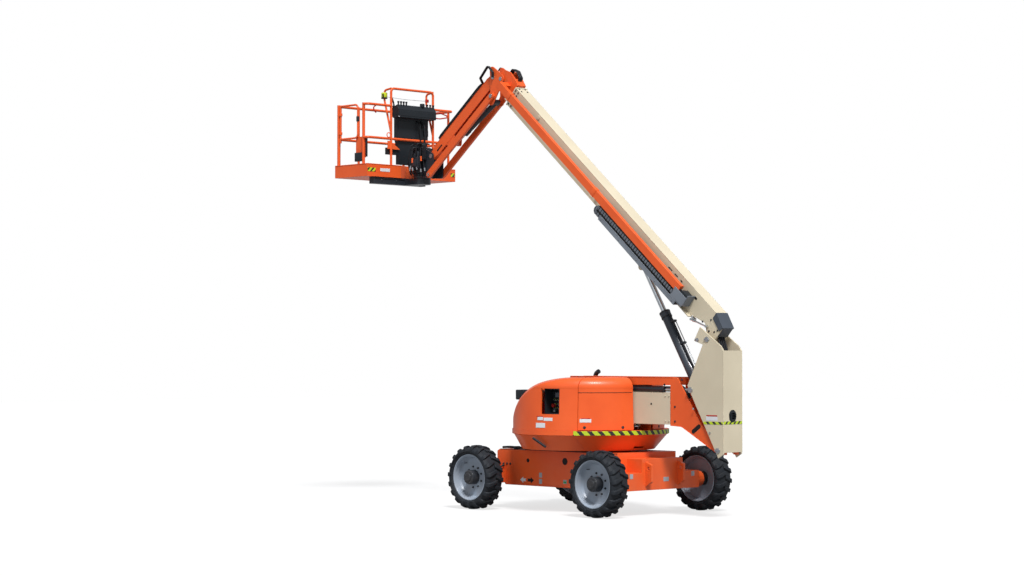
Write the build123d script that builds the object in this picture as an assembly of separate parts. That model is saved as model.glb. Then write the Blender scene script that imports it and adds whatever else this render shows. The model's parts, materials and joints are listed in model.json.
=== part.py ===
from build123d import *
import math
import os

# Articulating boom lift, in millimetres. X runs towards the platform, Y to the machine's left,
# Z up. Every size below is set in the machine's own frame, whose X = 0 is the swing axis;
# save() moves each piece so that the written origin is on the ground under the middle of its box.

# ---- driving sizes -------------------------------------------------------------------------
wheelbase = 2440.0
track = 2134.0
tyre_radius = 458.0
tyre_width = 320.0
rim_radius = 330.0
rim_width = 260.0
chassis_half_width = 600.0
chassis_bottom = 340.0
chassis_top = 850.0
platform_depth = 760.0
platform_width = 1830.0
rail_height = 1090.0
boom_angle = 41.0
boom_height = 300.0
boom_width = 220.0
jib_angle = -38.5
jib_length = 1760.0
running_gap = 8.0
pin_gap = 0.3
turning_gap = 0.6

# ---- places ---------------------------------------------------------------------------------
tower_pivot = (650.0, 1400.0)
upright_pivot = (-2590.0, 925.0)
boom_pivot = (-2403.0, 2420.0)
lift_base = (-2100.0, 1729.0)
lift_eye = (-1087.0, 3440.0)
tower_cylinder_base = (300.0, 985.0)
tower_cylinder_eye = (-900.0, 1210.0)
level_base = (-380.0, 1742.0)
nose_pivot = (1700.0, 6300.0)
jib_top_pin = (1860.0, 6340.0)
jib_pin_drop = 285.0
jib_cylinder_base = (1900.0, 5980.0)
rotator_x = 3550.0
platform_rear = 3790.0
platform_floor_z = 4930.0


def turned(angle, along, across):
    """Point (along, across) of a frame turned up by angle degrees, as an (x, z) offset."""
    a = math.radians(angle)
    return (along * math.cos(a) - across * math.sin(a), along * math.sin(a) + across * math.cos(a))


def in_frame(origin, angle, point):
    """The same (x, z) point, measured along and across a frame turned up by angle degrees."""
    a = math.radians(angle)
    dx, dz = point[0] - origin[0], point[1] - origin[1]
    return (dx * math.cos(a) + dz * math.sin(a), dz * math.cos(a) - dx * math.sin(a))


def shifted(point, offset):
    return (point[0] + offset[0], point[1] + offset[1])


jib_low_pin = (jib_top_pin[0], jib_top_pin[1] - jib_pin_drop)
support_top_pin = shifted(jib_top_pin, turned(jib_angle, jib_length, 0))
support_low_pin = (support_top_pin[0], support_top_pin[1] - jib_pin_drop)
rear_end = -2691.0
front_end = platform_rear + platform_depth
hood_hinge = (-775.0, 235.0, 1853.0)
jib_eye_local = (1300.0, -150.0)
rear_face = -wheelbase / 2 - 200
origin_x = (rear_end + front_end) / 2


# ---- shared shapes --------------------------------------------------------------------------
def block(x, y, z):
    """Box between the (low, high) pairs x, y and z."""
    size = [high - low for low, high in (x, y, z)]
    middle = [(high + low) / 2 for low, high in (x, y, z)]
    return Pos(*middle) * Box(*size)


def side_plate(points, y):
    """Outline of (x, z) points, made thick between the two values of y."""
    wire = Polyline(*[(px, y[0], pz) for px, pz in points], close=True)
    return extrude(make_face(wire), amount=y[1] - y[0], dir=(0, 1, 0))


def hull_plate(discs, y):
    """Belt round discs of (x, z, radius), given anticlockwise seen along +Y with z up."""
    plate = None
    for (x0, z0, r0), (x1, z1, r1) in zip(discs, discs[1:] + discs[:1]):
        disc = cross_pin((x0, z0), r0, y)
        plate = disc if plate is None else plate + disc
        if len(discs) > 1:
            span = math.hypot(x1 - x0, z1 - z0)
            lean = math.atan2(z1 - z0, x1 - x0)
            tilt = math.acos((r0 - r1) / span)
            corners = []
            for cx, cz, r, side in ((x0, z0, r0, 1), (x1, z1, r1, 1), (x1, z1, r1, -1), (x0, z0, r0, -1)):
                corners.append((cx + r * math.cos(lean + side * tilt), cz + r * math.sin(lean + side * tilt)))
            plate = plate + side_plate(corners, y)
    if len(discs) > 2:
        plate = plate + side_plate([(x, z) for x, z, r in discs], y)
    return plate


def cross_pin(at, radius, y):
    """Round bar along Y at (x, z)."""
    return Pos(at[0], (y[0] + y[1]) / 2, at[1]) * Rot(90, 0, 0) * Cylinder(radius, y[1] - y[0])


def round_bar(start, end, radius):
    """Round bar between two (x, y, z) points."""
    a, b = Vector(*start), Vector(*end)
    plane = Plane(origin=a, z_dir=b - a)
    return extrude(plane * Circle(radius), amount=(b - a).length)


def bent_tube(points, bends, radius):
    """Round tube along straight runs joined by arcs."""
    path = FilletPolyline(*points, radius=bends) if bends else Polyline(*points)
    start = Vector(*points[1]) - Vector(*points[0])
    return sweep(Plane(origin=points[0], z_dir=start) * Circle(radius), path=path)


def y_range(side, inner, outer):
    return (inner, outer) if side > 0 else (-outer, -inner)


def save(name, shape):
    moved = Pos(-origin_x, 0, 0) * shape
    moved.label = name
    export_step(moved, f"parts/{name}.step")


os.makedirs("parts", exist_ok=True)

# ---- chassis --------------------------------------------------------------------------------
half_base = wheelbase / 2
half_track = track / 2
axle_z = tyre_radius
chassis_rear = -half_base + 90
chassis_front = half_base + 30
chassis_profile = [(chassis_rear, chassis_bottom), (chassis_front - 170, chassis_bottom), (chassis_front, 560),
                   (chassis_front, chassis_top - 30), (chassis_front - 50, chassis_top),
                   (chassis_rear, chassis_top)]
chassis = side_plate(chassis_profile, (-chassis_half_width, chassis_half_width))
king_pin_y = 850.0
axle_beam_x = (-150.0, 150.0)
beam_end = 700.0
front_beam = block((half_base + axle_beam_x[0], half_base + axle_beam_x[1]), (-beam_end, beam_end),
                   (axle_z - 90, axle_z + 90))
fork_gap = 70.0
fork_thick = 30.0
for side in (1, -1):
    for level in (1, -1):
        low = axle_z + level * fork_gap - (fork_thick if level < 0 else 0)
        ear = block((half_base - 80, half_base + 80), y_range(side, beam_end, king_pin_y + 60),
                    (low, low + fork_thick))
        front_beam = front_beam + ear
king_pin_radius = 30.0
front_axle = front_beam - chassis
for side in (1, -1):
    king_pin = Pos(half_base, side * king_pin_y, axle_z) * Cylinder(king_pin_radius,
                                                                    2 * (fork_gap + fork_thick))
    front_axle = front_axle + king_pin

stub_half = 760.0
rear_beam_top = 590.0
rear_beam = block((rear_face, chassis_rear), (-stub_half, stub_half), (chassis_bottom + 10, rear_beam_top))
rear_box = block((rear_face, chassis_rear), (-420, 420), (rear_beam_top, 780))
drive_y = 870.0
lug_y = 330.0
lug_thick = 40.0
lug_hole_radius = 25.0
lug_profile = [(rear_face, 400), (rear_face - 110, 470), (rear_face - 110, 700), (rear_face, 740)]
lug_hole = (rear_face - 60, 650.0)
rear_axle = rear_beam + rear_box
for side in (1, -1):
    lug_middle = side * lug_y
    lug = side_plate(lug_profile, (lug_middle - lug_thick / 2, lug_middle + lug_thick / 2))
    rear_axle = rear_axle + lug - cross_pin(lug_hole, lug_hole_radius,
                                            (lug_middle - lug_thick, lug_middle + lug_thick))
    arm = block((-half_base - 110, -half_base + 110), y_range(side, chassis_half_width, drive_y),
                (axle_z - 95, axle_z + 95))
    hub_drive = cross_pin((-half_base, axle_z), 110, y_range(side, drive_y, half_track - 80))
    rear_axle = rear_axle + arm + hub_drive
rear_axle = rear_axle - chassis

hub_radius = 105.0
hub_face = half_track + tyre_width / 2 + 5
spindle_radius = 45.0
tyre_bulge = 35.0


def tyre(x, side):
    half = tyre_width / 2
    shoulder = tyre_radius - 45
    section = Polyline((rim_radius + pin_gap, -half + tyre_bulge), (shoulder - 40, -half),
                       (shoulder, -half + 5),
                       (tyre_radius, -half + 45), (tyre_radius, half - 45), (shoulder, half - 5),
                       (shoulder - 40, half), (rim_radius + pin_gap, half - tyre_bulge), close=True)
    ring = revolve(make_face(Plane.XZ * section), axis=Axis.Z)
    return Pos(x, side * half_track, axle_z) * Rot(90, 0, 0) * ring


def rim(x, side):
    barrel = Cylinder(rim_radius, rim_width) - Cylinder(rim_radius - 18, rim_width + 2)
    web = Pos(0, 0, -side * 15) * Cylinder(rim_radius - 17, 30)
    hub_length = hub_face - (half_track - 60)
    hub = Pos(0, 0, -side * (hub_length / 2 - 60)) * Cylinder(hub_radius, hub_length)
    bore_length = 240
    bore = Pos(0, 0, side * (bore_length / 2 - 100)) * Cylinder(spindle_radius + pin_gap, bore_length)
    return Pos(x, side * half_track, axle_z) * Rot(90, 0, 0) * (barrel + web + hub - bore)


def knuckle(side):
    body = block((half_base - 75, half_base + 75), y_range(side, king_pin_y - 60, king_pin_y + 75),
                 (axle_z - fork_gap + 1, axle_z + fork_gap - 1))
    body = body - Pos(half_base, side * king_pin_y, axle_z) * Cylinder(king_pin_radius + pin_gap, 400)
    collar = cross_pin((half_base, axle_z), 62, y_range(side, king_pin_y + 75, half_track - 61))
    spindle = cross_pin((half_base, axle_z), spindle_radius, y_range(side, king_pin_y + 75, half_track + 90))
    arm = block((half_base + 75, tie_x + 30), y_range(side, king_pin_y - 28, king_pin_y + 28),
                (axle_z - 25, axle_z + 25))
    pin = Pos(tie_x, side * tie_y, axle_z - 45) * Cylinder(tie_pin, 90)
    return body + collar + spindle + arm + pin


steer_arm = 300.0
tie_x = half_base + steer_arm
tie_y = king_pin_y
tie_z = axle_z - 60
tie_pin = 16.0
tie_rod = round_bar((tie_x, -tie_y + 34, tie_z), (tie_x, tie_y - 34, tie_z), 20)
for side in (1, -1):
    eye = Pos(tie_x, side * tie_y, tie_z) * (Cylinder(36, 30) - Cylinder(tie_pin + pin_gap, 40))
    tie_rod = tie_rod + eye

for side in (1, -1):
    rear_axle = rear_axle + cross_pin((-half_base, axle_z), spindle_radius,
                                      y_range(side, half_track - 80, half_track + 90))
bearing_height = 25.0
bearing_radius = 560.0
swing_bearing = Pos(0, 0, chassis_top + bearing_height / 2) * (Cylinder(bearing_radius, bearing_height)
                                                               - Cylinder(bearing_radius - 110, bearing_height))
save("chassis_frame", chassis)
save("front_axle", front_axle)
save("rear_axle", rear_axle)
save("swing_bearing", swing_bearing)
for name, x, side in (("front_left", half_base, 1), ("front_right", half_base, -1),
                      ("rear_left", -half_base, 1), ("rear_right", -half_base, -1)):
    save(f"tyre_{name}", tyre(x, side))
    save(f"rim_{name}", rim(x, side))
save("knuckle_left", knuckle(1))
save("knuckle_right", knuckle(-1))
save("tie_rod", tie_rod)

# ---- turntable ------------------------------------------------------------------------------
deck_bottom = chassis_top + bearing_height
deck_top = 1160.0
belt_radius = 1150.0
tub_radius = 945.0
hood_radius = 1085.0
roof_z = 1905.0
wall = 25.0
slot_half = 200.0
hood_seam_x = -630.0


def revolved(outline):
    """outline is a list of edges drawn in (radius, height), closed."""
    return revolve(make_face(Plane.XZ * Wire(outline)), axis=Axis.Z)


shoulder = [  # across the sight line of each front corner: reach, height, lean of the outward normal
    (1075, 1300, 4), (1000, 1535, 33), (643, 1820, 67), (430, 1868, 79), (220, 1888, 85)]
front_slope = [(1085, 1290, 8), (985, 1590, 35), (620, 1835, 68), (420, 1875, 80), (220, 1892, 86)]
corner_turn = 45.8


def sloped(points, inset):
    """Long bar whose roof falls away towards +X along two arcs through the five points."""
    shrunk = [(x - inset * math.cos(math.radians(lean)), z - inset * math.sin(math.radians(lean)))
              for x, z, lean in points]
    corner = [(x, 0, z) for x, z in shrunk]
    far = -1300.0
    edges = [Line((far, 0, 1000), (corner[0][0], 0, 1000)), Line((corner[0][0], 0, 1000), corner[0]),
             ThreePointArc(*corner[:3]), ThreePointArc(*corner[2:]),
             Line(corner[4], (far, 0, corner[4][2] + 10)),
             Line((far, 0, corner[4][2] + 10), (far, 0, 1000))]
    face = make_face(Wire(edges))
    return extrude(face, amount=1500, dir=(0, 1, 0)) + extrude(face, amount=1500, dir=(0, -1, 0))


def cowl_solid(inset):
    solid = hood_solid(inset) & sloped(front_slope, inset)
    for turn in (corner_turn, -corner_turn):
        solid = solid & (Rot(0, 0, turn) * sloped(shoulder, inset))
    return solid


def hood_solid(inset):
    r, top, low = hood_radius - inset, roof_z - inset, deck_top
    edges = [Line((0, low), (r, low)), Line((r, low), (r - 15, top - 170)),
             ThreePointArc((r - 15, top - 170), (r - 55, top - 50), (r - 165, top - 8)),
             Line((r - 165, top - 8), (0, top)), Line((0, top), (0, low))]
    return revolved(edges)


front_belt = 1088.0


def tub(outer):
    outline = [(0, deck_bottom), (tub_radius, deck_bottom), (outer - 30, 1080), (outer, 1095),
               (outer, deck_top), (0, deck_top)]
    return revolve(make_face(Plane.XZ * Polyline(*outline, close=True)), axis=Axis.Z)


rear_reach = block((-1200, hood_seam_x), (-1200, 1200), (deck_bottom - 1, deck_top + 1))
deck = (tub(belt_radius) & rear_reach) + (tub(front_belt) - rear_reach)
swing_cut = Pos(0, 0, deck_bottom) * Cylinder(bearing_radius - 120, 60)
pocket_half = 100.0
pocket = block((-990, 400), (-pocket_half, pocket_half), (905, deck_top + 1))
deck = deck - swing_cut - pocket + cross_pin(tower_cylinder_base, 28, (-pocket_half, pocket_half))
save("turntable_deck", deck)

cowl_shell = cowl_solid(0) - cowl_solid(wall)
panel_x = (-400.0, -110.0)
panel_z = (1385.0, 1740.0)
panel_cut = block(panel_x, (700, 1200), panel_z)
nose_x = 850.0
front_cowl = cowl_shell & block((hood_seam_x, 1200), (-1200, 1200), (deck_top + pin_gap, 2000))
front_cowl = front_cowl - block((-1200, nose_x), (-slot_half, slot_half), (deck_top, 2000)) - panel_cut
save("front_cowl", front_cowl)
panel_back_y = 820.0
panel_front_y = 995.0
panel_wall = 12.0


def panel_block(y, shrink):
    return block((panel_x[0] + shrink, panel_x[1] - shrink), y, (panel_z[0] + shrink, panel_z[1] - shrink))


controls_box = panel_block((panel_back_y - 120, panel_front_y), pin_gap)
controls_box = controls_box - panel_block((panel_back_y, panel_front_y + 1), panel_wall)
save("ground_controls", controls_box)

hood_shell = hood_solid(0) - hood_solid(wall)
hinge_pin = 9.0
lug_length = 30.0
hood_lug_x = (hood_hinge[0] - 45, hood_hinge[0] + 15)
frame_lug_x = (hood_hinge[0] - 80, hood_hinge[0] + 50)
for side, word in ((1, "left"), (-1, "right")):
    reach = block((-1200, hood_seam_x - running_gap), y_range(side, slot_half, 1200),
                  (deck_top + running_gap, 2000))
    hood = hood_shell & reach
    for low_x in hood_lug_x:
        lug = block((low_x, low_x + lug_length), y_range(side, hood_hinge[1] - 12, hood_hinge[1] + 12),
                    (hood_hinge[2] - 14, roof_z - 20))
        hood = hood + lug - round_bar((low_x - 1, side * hood_hinge[1], hood_hinge[2]),
                                      (low_x + lug_length + 1, side * hood_hinge[1],
                                       hood_hinge[2]), hinge_pin + pin_gap)
    save(f"hood_{word}", hood)

frame_half = 195.0
frame_plate = 22.0
boss_radius = 110.0
frame_profile = [(-1030, deck_top), (880, deck_top), (880, 1420), (760, 1530), (-1030, 1600)]
turntable_frame = None
for side in (1, -1):
    plate = side_plate(frame_profile, y_range(side, frame_half - frame_plate, frame_half))
    plate = plate + cross_pin(tower_pivot, boss_radius,
                              y_range(side, frame_half - frame_plate, frame_half + 15))
    for low_x in frame_lug_x:
        x = (low_x, low_x + lug_length)
        plate = plate + block(x, y_range(side, frame_half - frame_plate, frame_half),
                              (1500, hood_hinge[2] - 38))
        plate = plate + block(x, y_range(side, frame_half - frame_plate, hood_hinge[1] + 12),
                              (hood_hinge[2] - 58, hood_hinge[2] - 38))
        plate = plate + block(x, y_range(side, hood_hinge[1] - 12, hood_hinge[1] + 12),
                              (hood_hinge[2] - 58, hood_hinge[2] + 8))
    hinge_y = side * hood_hinge[1]
    plate = plate + round_bar((frame_lug_x[0], hinge_y, hood_hinge[2]),
                              (frame_lug_x[1] + lug_length, hinge_y, hood_hinge[2]), hinge_pin)
    turntable_frame = plate if turntable_frame is None else turntable_frame + plate
tower_pin = cross_pin(tower_pivot, 40, (-frame_half, frame_half))
save("turntable_frame", turntable_frame + tower_pin)
save("engine_block", block((-450, 350), (-820, -380), (deck_top, 1560)))

# ---- tower ----------------------------------------------------------------------------------
tower_half = 165.0
tower_z = (1255.0, 1690.0)
tower_rear = -1710.0
tower_front = 770.0
tower_wall = 12.0
slide_gap = 10.0
fly_half = tower_half - tower_wall - slide_gap
fly_z = (tower_z[0] + tower_wall + slide_gap, tower_z[1] - tower_wall - slide_gap)
fly_front = 500.0
fly_wall = 10.0
tower_tube = block((tower_rear, tower_front), (-tower_half, tower_half), tower_z)
tower_bore = block((tower_rear - 1, tower_front - 60), (-tower_half + tower_wall, tower_half - tower_wall),
                   (tower_z[0] + tower_wall, tower_z[1] - tower_wall))
tower_lip = block((tower_rear - 100, tower_rear + 40), (-90, 90), (tower_z[0] - 22, tower_z[0]))
tower_base = tower_tube - tower_bore + cross_pin(tower_pivot, 75, (-tower_half, tower_half))
tower_base = tower_base + tower_lip - cross_pin(tower_pivot, 40 + pin_gap, (-tower_half - 1, tower_half + 1))
pad_length = 120.0
for z in ((tower_z[0] + tower_wall, fly_z[0] - pin_gap), (fly_z[1] + pin_gap, tower_z[1] - tower_wall)):
    tower_base = tower_base + block((tower_rear, tower_rear + pad_length), (-90, 90), z)
for side in (1, -1):
    lug = hull_plate([(*tower_cylinder_eye, 38), (tower_cylinder_eye[0] + 60, tower_z[0] + 20, 20),
                      (tower_cylinder_eye[0] - 60, tower_z[0] + 20, 20)], y_range(side, 42, 60))
    tower_base = tower_base + (lug - block((-2000, 0), (-100, 100), (tower_z[0] + 5, 1400)))
save("tower_boom", tower_base)

fly_tube = block((tower_rear - 60, fly_front), (-fly_half, fly_half), fly_z)
fly_tube = fly_tube - block((tower_rear - 61, fly_front + 1), (-fly_half + fly_wall, fly_half - fly_wall),
                            (fly_z[0] + fly_wall, fly_z[1] - fly_wall))
arm_y = (tower_half - 18, tower_half)
upright_boss = 52.0
arm_profile = [(tower_rear - 8, 1240), (-1920, 1228), (upright_pivot[0] + 20, upright_pivot[1] - 48),
               (upright_pivot[0] - 25, upright_pivot[1] + 45), (-2270, 1270), (-1845, 1895), (-1760, 1908),
               (tower_rear - 8, 1908)]
tower_fly = fly_tube
for side in (1, -1):
    arm = side_plate(arm_profile, y_range(side, *arm_y)) + cross_pin(upright_pivot, upright_boss,
                                                                     y_range(side, *arm_y))
    tower_fly = tower_fly + arm
tower_fly = tower_fly + block((tower_rear - 60, tower_rear - 8), (-tower_half, tower_half), tower_z)
tower_fly = tower_fly + block((-2050, -1990), (-tower_half, tower_half), (1185, 1250))
bar_y = (105.0, tower_half)
bar_z = (1795.0, 1908.0)
level_y = 126.0
for side in (1, -1):
    tower_fly = tower_fly + block((-1760, 200), y_range(side, *bar_y), bar_z)
    for inner, outer in ((bar_y[0], level_y - 14), (level_y + 14, level_y + 26)):
        ear = block((level_base[0] - 25, level_base[0] + 25), y_range(side, inner, outer),
                    (level_base[1] - 25, bar_z[0]))
        tower_fly = tower_fly + ear
    tower_fly = tower_fly + cross_pin(level_base, 14, y_range(side, bar_y[0], level_y + 26))
tower_fly = tower_fly - cross_pin(upright_pivot, 28 + pin_gap, (-tower_half - 1, tower_half + 1))
save("tower_fly", tower_fly)

# ---- upright --------------------------------------------------------------------------------
upright_y = (175.0, 195.0)
upright_profile = [(-2281, 2588), (-2173, 2402), (-2330, 2350), (-2054, 1792), (-2600, 825), (-2691, 880),
                   (-2691, 2270),
                   (-2650, 2330)]
upright = None
for side in (1, -1):
    plate = side_plate(upright_profile, y_range(side, *upright_y))
    upright = plate if upright is None else upright + plate
upright = upright + block((rear_end, rear_end + 16), (-upright_y[1], upright_y[1]), (900, 2270))
for at, radius in ((upright_pivot, 28), (boom_pivot, 32), (lift_base, 30)):
    upright = upright + cross_pin(at, radius, (-upright_y[0], upright_y[0]))
save("upright", upright)

# ---- main boom, drawn along its own axis from the boom pivot -------------------------------
boom_place = Pos(boom_pivot[0], 0, boom_pivot[1]) * Rot(0, -boom_angle, 0)
boom_axis_t = 182.0
boom_tail = -60.0
boom_mouth = 5290.0
boom_wall = 12.0
half_h = boom_height / 2
half_w = boom_width / 2
base_tube = block((boom_tail, boom_mouth), (-half_w, half_w), (boom_axis_t - half_h, boom_axis_t + half_h))
base_bore = block((boom_tail - 1, boom_mouth + 1), (-half_w + boom_wall, half_w - boom_wall),
                  (boom_axis_t - half_h + boom_wall, boom_axis_t + half_h - boom_wall))
fly_half_w = half_w - boom_wall - 13
fly_half_h = half_h - boom_wall - 13
tail_floor = [(-200, -50), (440, -50), (420, 44), (200, 104), (boom_tail, 96), (-200, 96)]
tail_roof = [(-200, 180), (boom_tail, 232), (165, 325), (165, 340), (-200, 340)]
main_boom = base_tube - base_bore
for outline in (tail_floor, tail_roof):
    main_boom = main_boom - side_plate(outline, (-half_w - 1, half_w + 1))
lift_eye_local = in_frame(boom_pivot, boom_angle, lift_eye)
lift_ear_y = (50.0, 70.0)
rod_slot = block((lift_eye_local[0] - 180, lift_eye_local[0] + 260), (-46, 46),
                 (boom_axis_t - half_h - 1, boom_axis_t - half_h + boom_wall + 1))
for side in (1, -1):
    ear = hull_plate([(0, 0, 58), (200, 130, 40), (200, 180, 40), (-20, 180, 40)], y_range(side, 80, half_w))
    main_boom = main_boom + ear
    eye_ears = hull_plate([(*lift_eye_local, 50), (lift_eye_local[0] + 190, 60, 30),
                           (lift_eye_local[0] - 90, 60, 30)],
                          y_range(side, *lift_ear_y))
    eye_ears = eye_ears + cross_pin(lift_eye_local, 30, y_range(side, lift_ear_y[1], lift_ear_y[1] + 14))
    main_boom = main_boom + (eye_ears - block((0, 6000), (-200, 200), (boom_axis_t - half_h + 5, 600)))
    for t in (boom_axis_t - half_h + boom_wall, boom_axis_t + half_h - boom_wall - 13 + pin_gap):
        pad = block((boom_mouth - pad_length, boom_mouth), y_range(side, 20, 70), (t, t + 13 - pin_gap))
        main_boom = main_boom + pad
main_boom = main_boom - rod_slot - cross_pin((0, 0), 32 + pin_gap, (-half_w - 1, half_w + 1))
ledge_s = (475.0, 720.0)
ledge = block(ledge_s, (half_w - boom_wall, 172), (-4, 8)) + block(ledge_s, (half_w - boom_wall, half_w),
                                                                   (8, boom_axis_t - half_h))
main_boom = main_boom + ledge
push_y = (190.0, 250.0)
push_t = (boom_axis_t - 17, boom_axis_t + 93)
for s in (2900.0, 5180.0):
    main_boom = main_boom + block((s, s + 60), (half_w, push_y[1] + 10), (push_t[0] - 16, push_t[0] - 4))
save("main_boom", boom_place * main_boom)

cap_half = half_w + 8
cap_outline = [(-66, 256), (-44, 180), (158, 240), (158, 338)]
cap_inner = [(-60, 232), (boom_tail + 20, 150), (180, 200), (180, 333), (165, 333), (165, 325.4), (-60, 232.4)]
tail_cap = side_plate(cap_outline, (-cap_half, cap_half)) - side_plate(cap_inner,
                                                                       (-half_w - pin_gap, half_w + pin_gap))
tail_cap = tail_cap + side_plate([(-66, 256), (-66, 100), (boom_tail - pin_gap, 100),
                                  (boom_tail - pin_gap, 240)], (-100, 100))
save("boom_tail_cap", boom_place * tail_cap)
master_y = 138.0
master_ends = ((430.0, -8.0), (160.0, 92.0))
level_master = round_bar((master_ends[0][0], master_y, master_ends[0][1]),
                         (master_ends[1][0], master_y, master_ends[1][1]), 11)
level_master = level_master + round_bar((master_ends[0][0] - 15, master_y, master_ends[0][1] + 5.5),
                                        (350, master_y, 21.6), 16)
for s, t in master_ends:
    level_master = level_master + cross_pin((s, t), 17, (half_w + pin_gap, master_y + 14))
level_master = level_master + side_plate([(400, 20), (460, 20), (460, -30), (400, -30)],
                                         (half_w - 40, half_w + 4))
level_master = level_master - block((0, 1000), (0, half_w + pin_gap), (boom_axis_t - half_h - pin_gap, 400))
save("level_master", boom_place * level_master)
tail_hose_y = (-55.0, -18.0, 20.0, 58.0)
tail_hoses = None
for y in tail_hose_y:
    hose = bent_tube([(80, y, 168), (30, y, 150), (-40, y, 78), (-215, y, -20), (-225, y, -110)], 30, 13)
    tail_hoses = hose if tail_hoses is None else tail_hoses + hose
tail_hoses = tail_hoses + block((60, 90), (-79.7, 79.7), (150, 185))
save("tail_hoses", boom_place * tail_hoses)
trough = block((727, 2600), (half_w, 262), (-4, 8)) + block((727, 2600), (254, 262), (8, 60))
trough = trough + block((727, 2600), (half_w, half_w + 8), (8, 100))
save("cable_trough", boom_place * trough)

track_y = (188.0, 248.0)
track_low, track_high, track_link = 8.5, 142.0, 54.0
track_mid = (track_low + track_high) / 2
track_run = block((800, 2700), track_y, (track_low, track_low + track_link))
track_run = track_run + block((800, 2700), track_y, (track_high - track_link, track_high))
track_bend = cross_pin((2700, track_mid), track_high - track_mid, track_y)
track_bend = track_bend - cross_pin((2700, track_mid), track_high - track_mid - track_link, (100, 300))
track_bend = track_bend & block((2700, 2800), (100, 300), (0, 200))
save("cable_track", boom_place * (track_run + track_bend))

fly_start = 350.0
fly_end = 5400.0
nose_local = in_frame(boom_pivot, boom_angle, nose_pivot)
bracket_y = (fly_half_w + 7, fly_half_w + 25)
fly_tube = block((fly_start, fly_end), (-fly_half_w, fly_half_w),
                 (boom_axis_t - fly_half_h, boom_axis_t + fly_half_h))
fly_tube = fly_tube - block((fly_start - 1, fly_end - 80), (-fly_half_w + 8, fly_half_w - 8),
                            (boom_axis_t - fly_half_h + 8, boom_axis_t + fly_half_h - 8))
nose_profile = [(5300, 57), (5420, 57), (5650, 157), (5712, 202), (5727, 236), (5722, 290), (5685, 375),
                (5560, 421),
                (5420, 405), (5300, 368)]
nose = side_plate(nose_profile, (-fly_half_w, fly_half_w))
nose = nose - block((fly_end + 15, 5800), (-60, 60), (-200, 600))
main_fly = fly_tube + nose + cross_pin(nose_local, 30, (-bracket_y[1] - 2, bracket_y[1] + 2))
save("main_fly", boom_place * main_fly)
nose_hoses = None
for y in (-30, 0, 30):
    hose = bent_tube([(5600, y, 300), (5600, y, 450), (5500, y, 482), (5385, y, 440), (5385, y, 404)], 30, 12)
    nose_hoses = hose if nose_hoses is None else nose_hoses + hose
nose_hoses = nose_hoses + block((5585, 5615), (-59.7, 59.7), (290, 312))
save("nose_hoses", boom_place * (nose_hoses - nose))
push_tube = block((790, 5510), push_y, push_t)
push_tube = push_tube + block((5410, 5500), (fly_half_w, push_y[0]), (boom_axis_t + 45, boom_axis_t + 93))
save("push_tube", boom_place * push_tube)


# ---- cylinders ------------------------------------------------------------------------------
def cylinder(base, eye, bore, rod_radius, barrel_length, eye_width, base_pin, rod_start):
    """Barrel from its base pin, and rod from rod_start inside it to its eye, as two pieces."""
    length = math.hypot(eye[0] - base[0], eye[1] - base[1])
    lean = math.degrees(math.atan2(eye[1] - base[1], eye[0] - base[0]))
    place = Pos(base[0], 0, base[1]) * Rot(0, -lean, 0)
    barrel = round_bar((bore * 1.15, 0, 0), (barrel_length, 0, 0), bore)
    barrel = barrel + round_bar((barrel_length - 90, 0, 0), (barrel_length, 0, 0), bore * 1.12)
    barrel = barrel + cross_pin((0, 0), bore * 0.85, (-eye_width, eye_width))
    barrel = barrel + block((0, bore * 1.2), (-eye_width, eye_width), (-bore * 0.8, bore * 0.8))
    barrel = barrel - cross_pin((0, 0), base_pin + pin_gap, (-200, 200))
    barrel = barrel - round_bar((bore * 1.5, 0, 0), (barrel_length + 1, 0, 0), rod_radius + pin_gap)
    rod = round_bar((rod_start, 0, 0), (length, 0, 0), rod_radius)
    rod = rod + cross_pin((length, 0), rod_radius * 1.05, (-eye_width, eye_width))
    return place * barrel, place * rod


lift_barrel, lift_rod = cylinder(lift_base, lift_eye, 68, 38, 1250, 40, 30, 735)
save("lift_barrel", lift_barrel)
save("lift_rod", lift_rod)
tower_barrel, tower_rod = cylinder(tower_cylinder_base, tower_cylinder_eye, 58, 34, 960, 36, 28, 117)
save("tower_barrel", tower_barrel)
save("tower_rod", tower_rod)
level_tip = (lift_base[0] + 60, level_base[1] - 8)
level_barrel, level_rod = cylinder(level_base, level_tip, 38, 16, 1200, 12, 14, 87)
save("level_barrels", Pos(0, level_y, 0) * level_barrel + Pos(0, -level_y, 0) * level_barrel)
save("level_rods", Pos(0, level_y, 0) * level_rod + Pos(0, -level_y, 0) * level_rod)

# ---- jib ------------------------------------------------------------------------------------
bracket = None
for side in (1, -1):
    plate = hull_plate([(*nose_pivot, 68), (*jib_cylinder_base, 58), (*jib_low_pin, 55), (*jib_top_pin, 62),
                        (jib_top_pin[0] + 20, jib_top_pin[1] + 110, 48)],
                       y_range(side, *bracket_y))
    plate = plate - cross_pin(nose_pivot, 30 + pin_gap, (-200, 200))
    bracket = plate if bracket is None else bracket + plate
bracket = bracket + cross_pin(jib_top_pin, 26, (-bracket_y[0], bracket_y[0]))
bracket = bracket + cross_pin(jib_cylinder_base, 20, (-bracket_y[0], bracket_y[0]))
lower_y = (bracket_y[1] + 6, bracket_y[1] + 46)
link_pin_y = (bracket_y[0], lower_y[1] + 6)
for side in (1, -1):
    bracket = bracket + cross_pin(jib_low_pin, 24, y_range(side, *link_pin_y))
save("jib_bracket", bracket)

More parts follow.
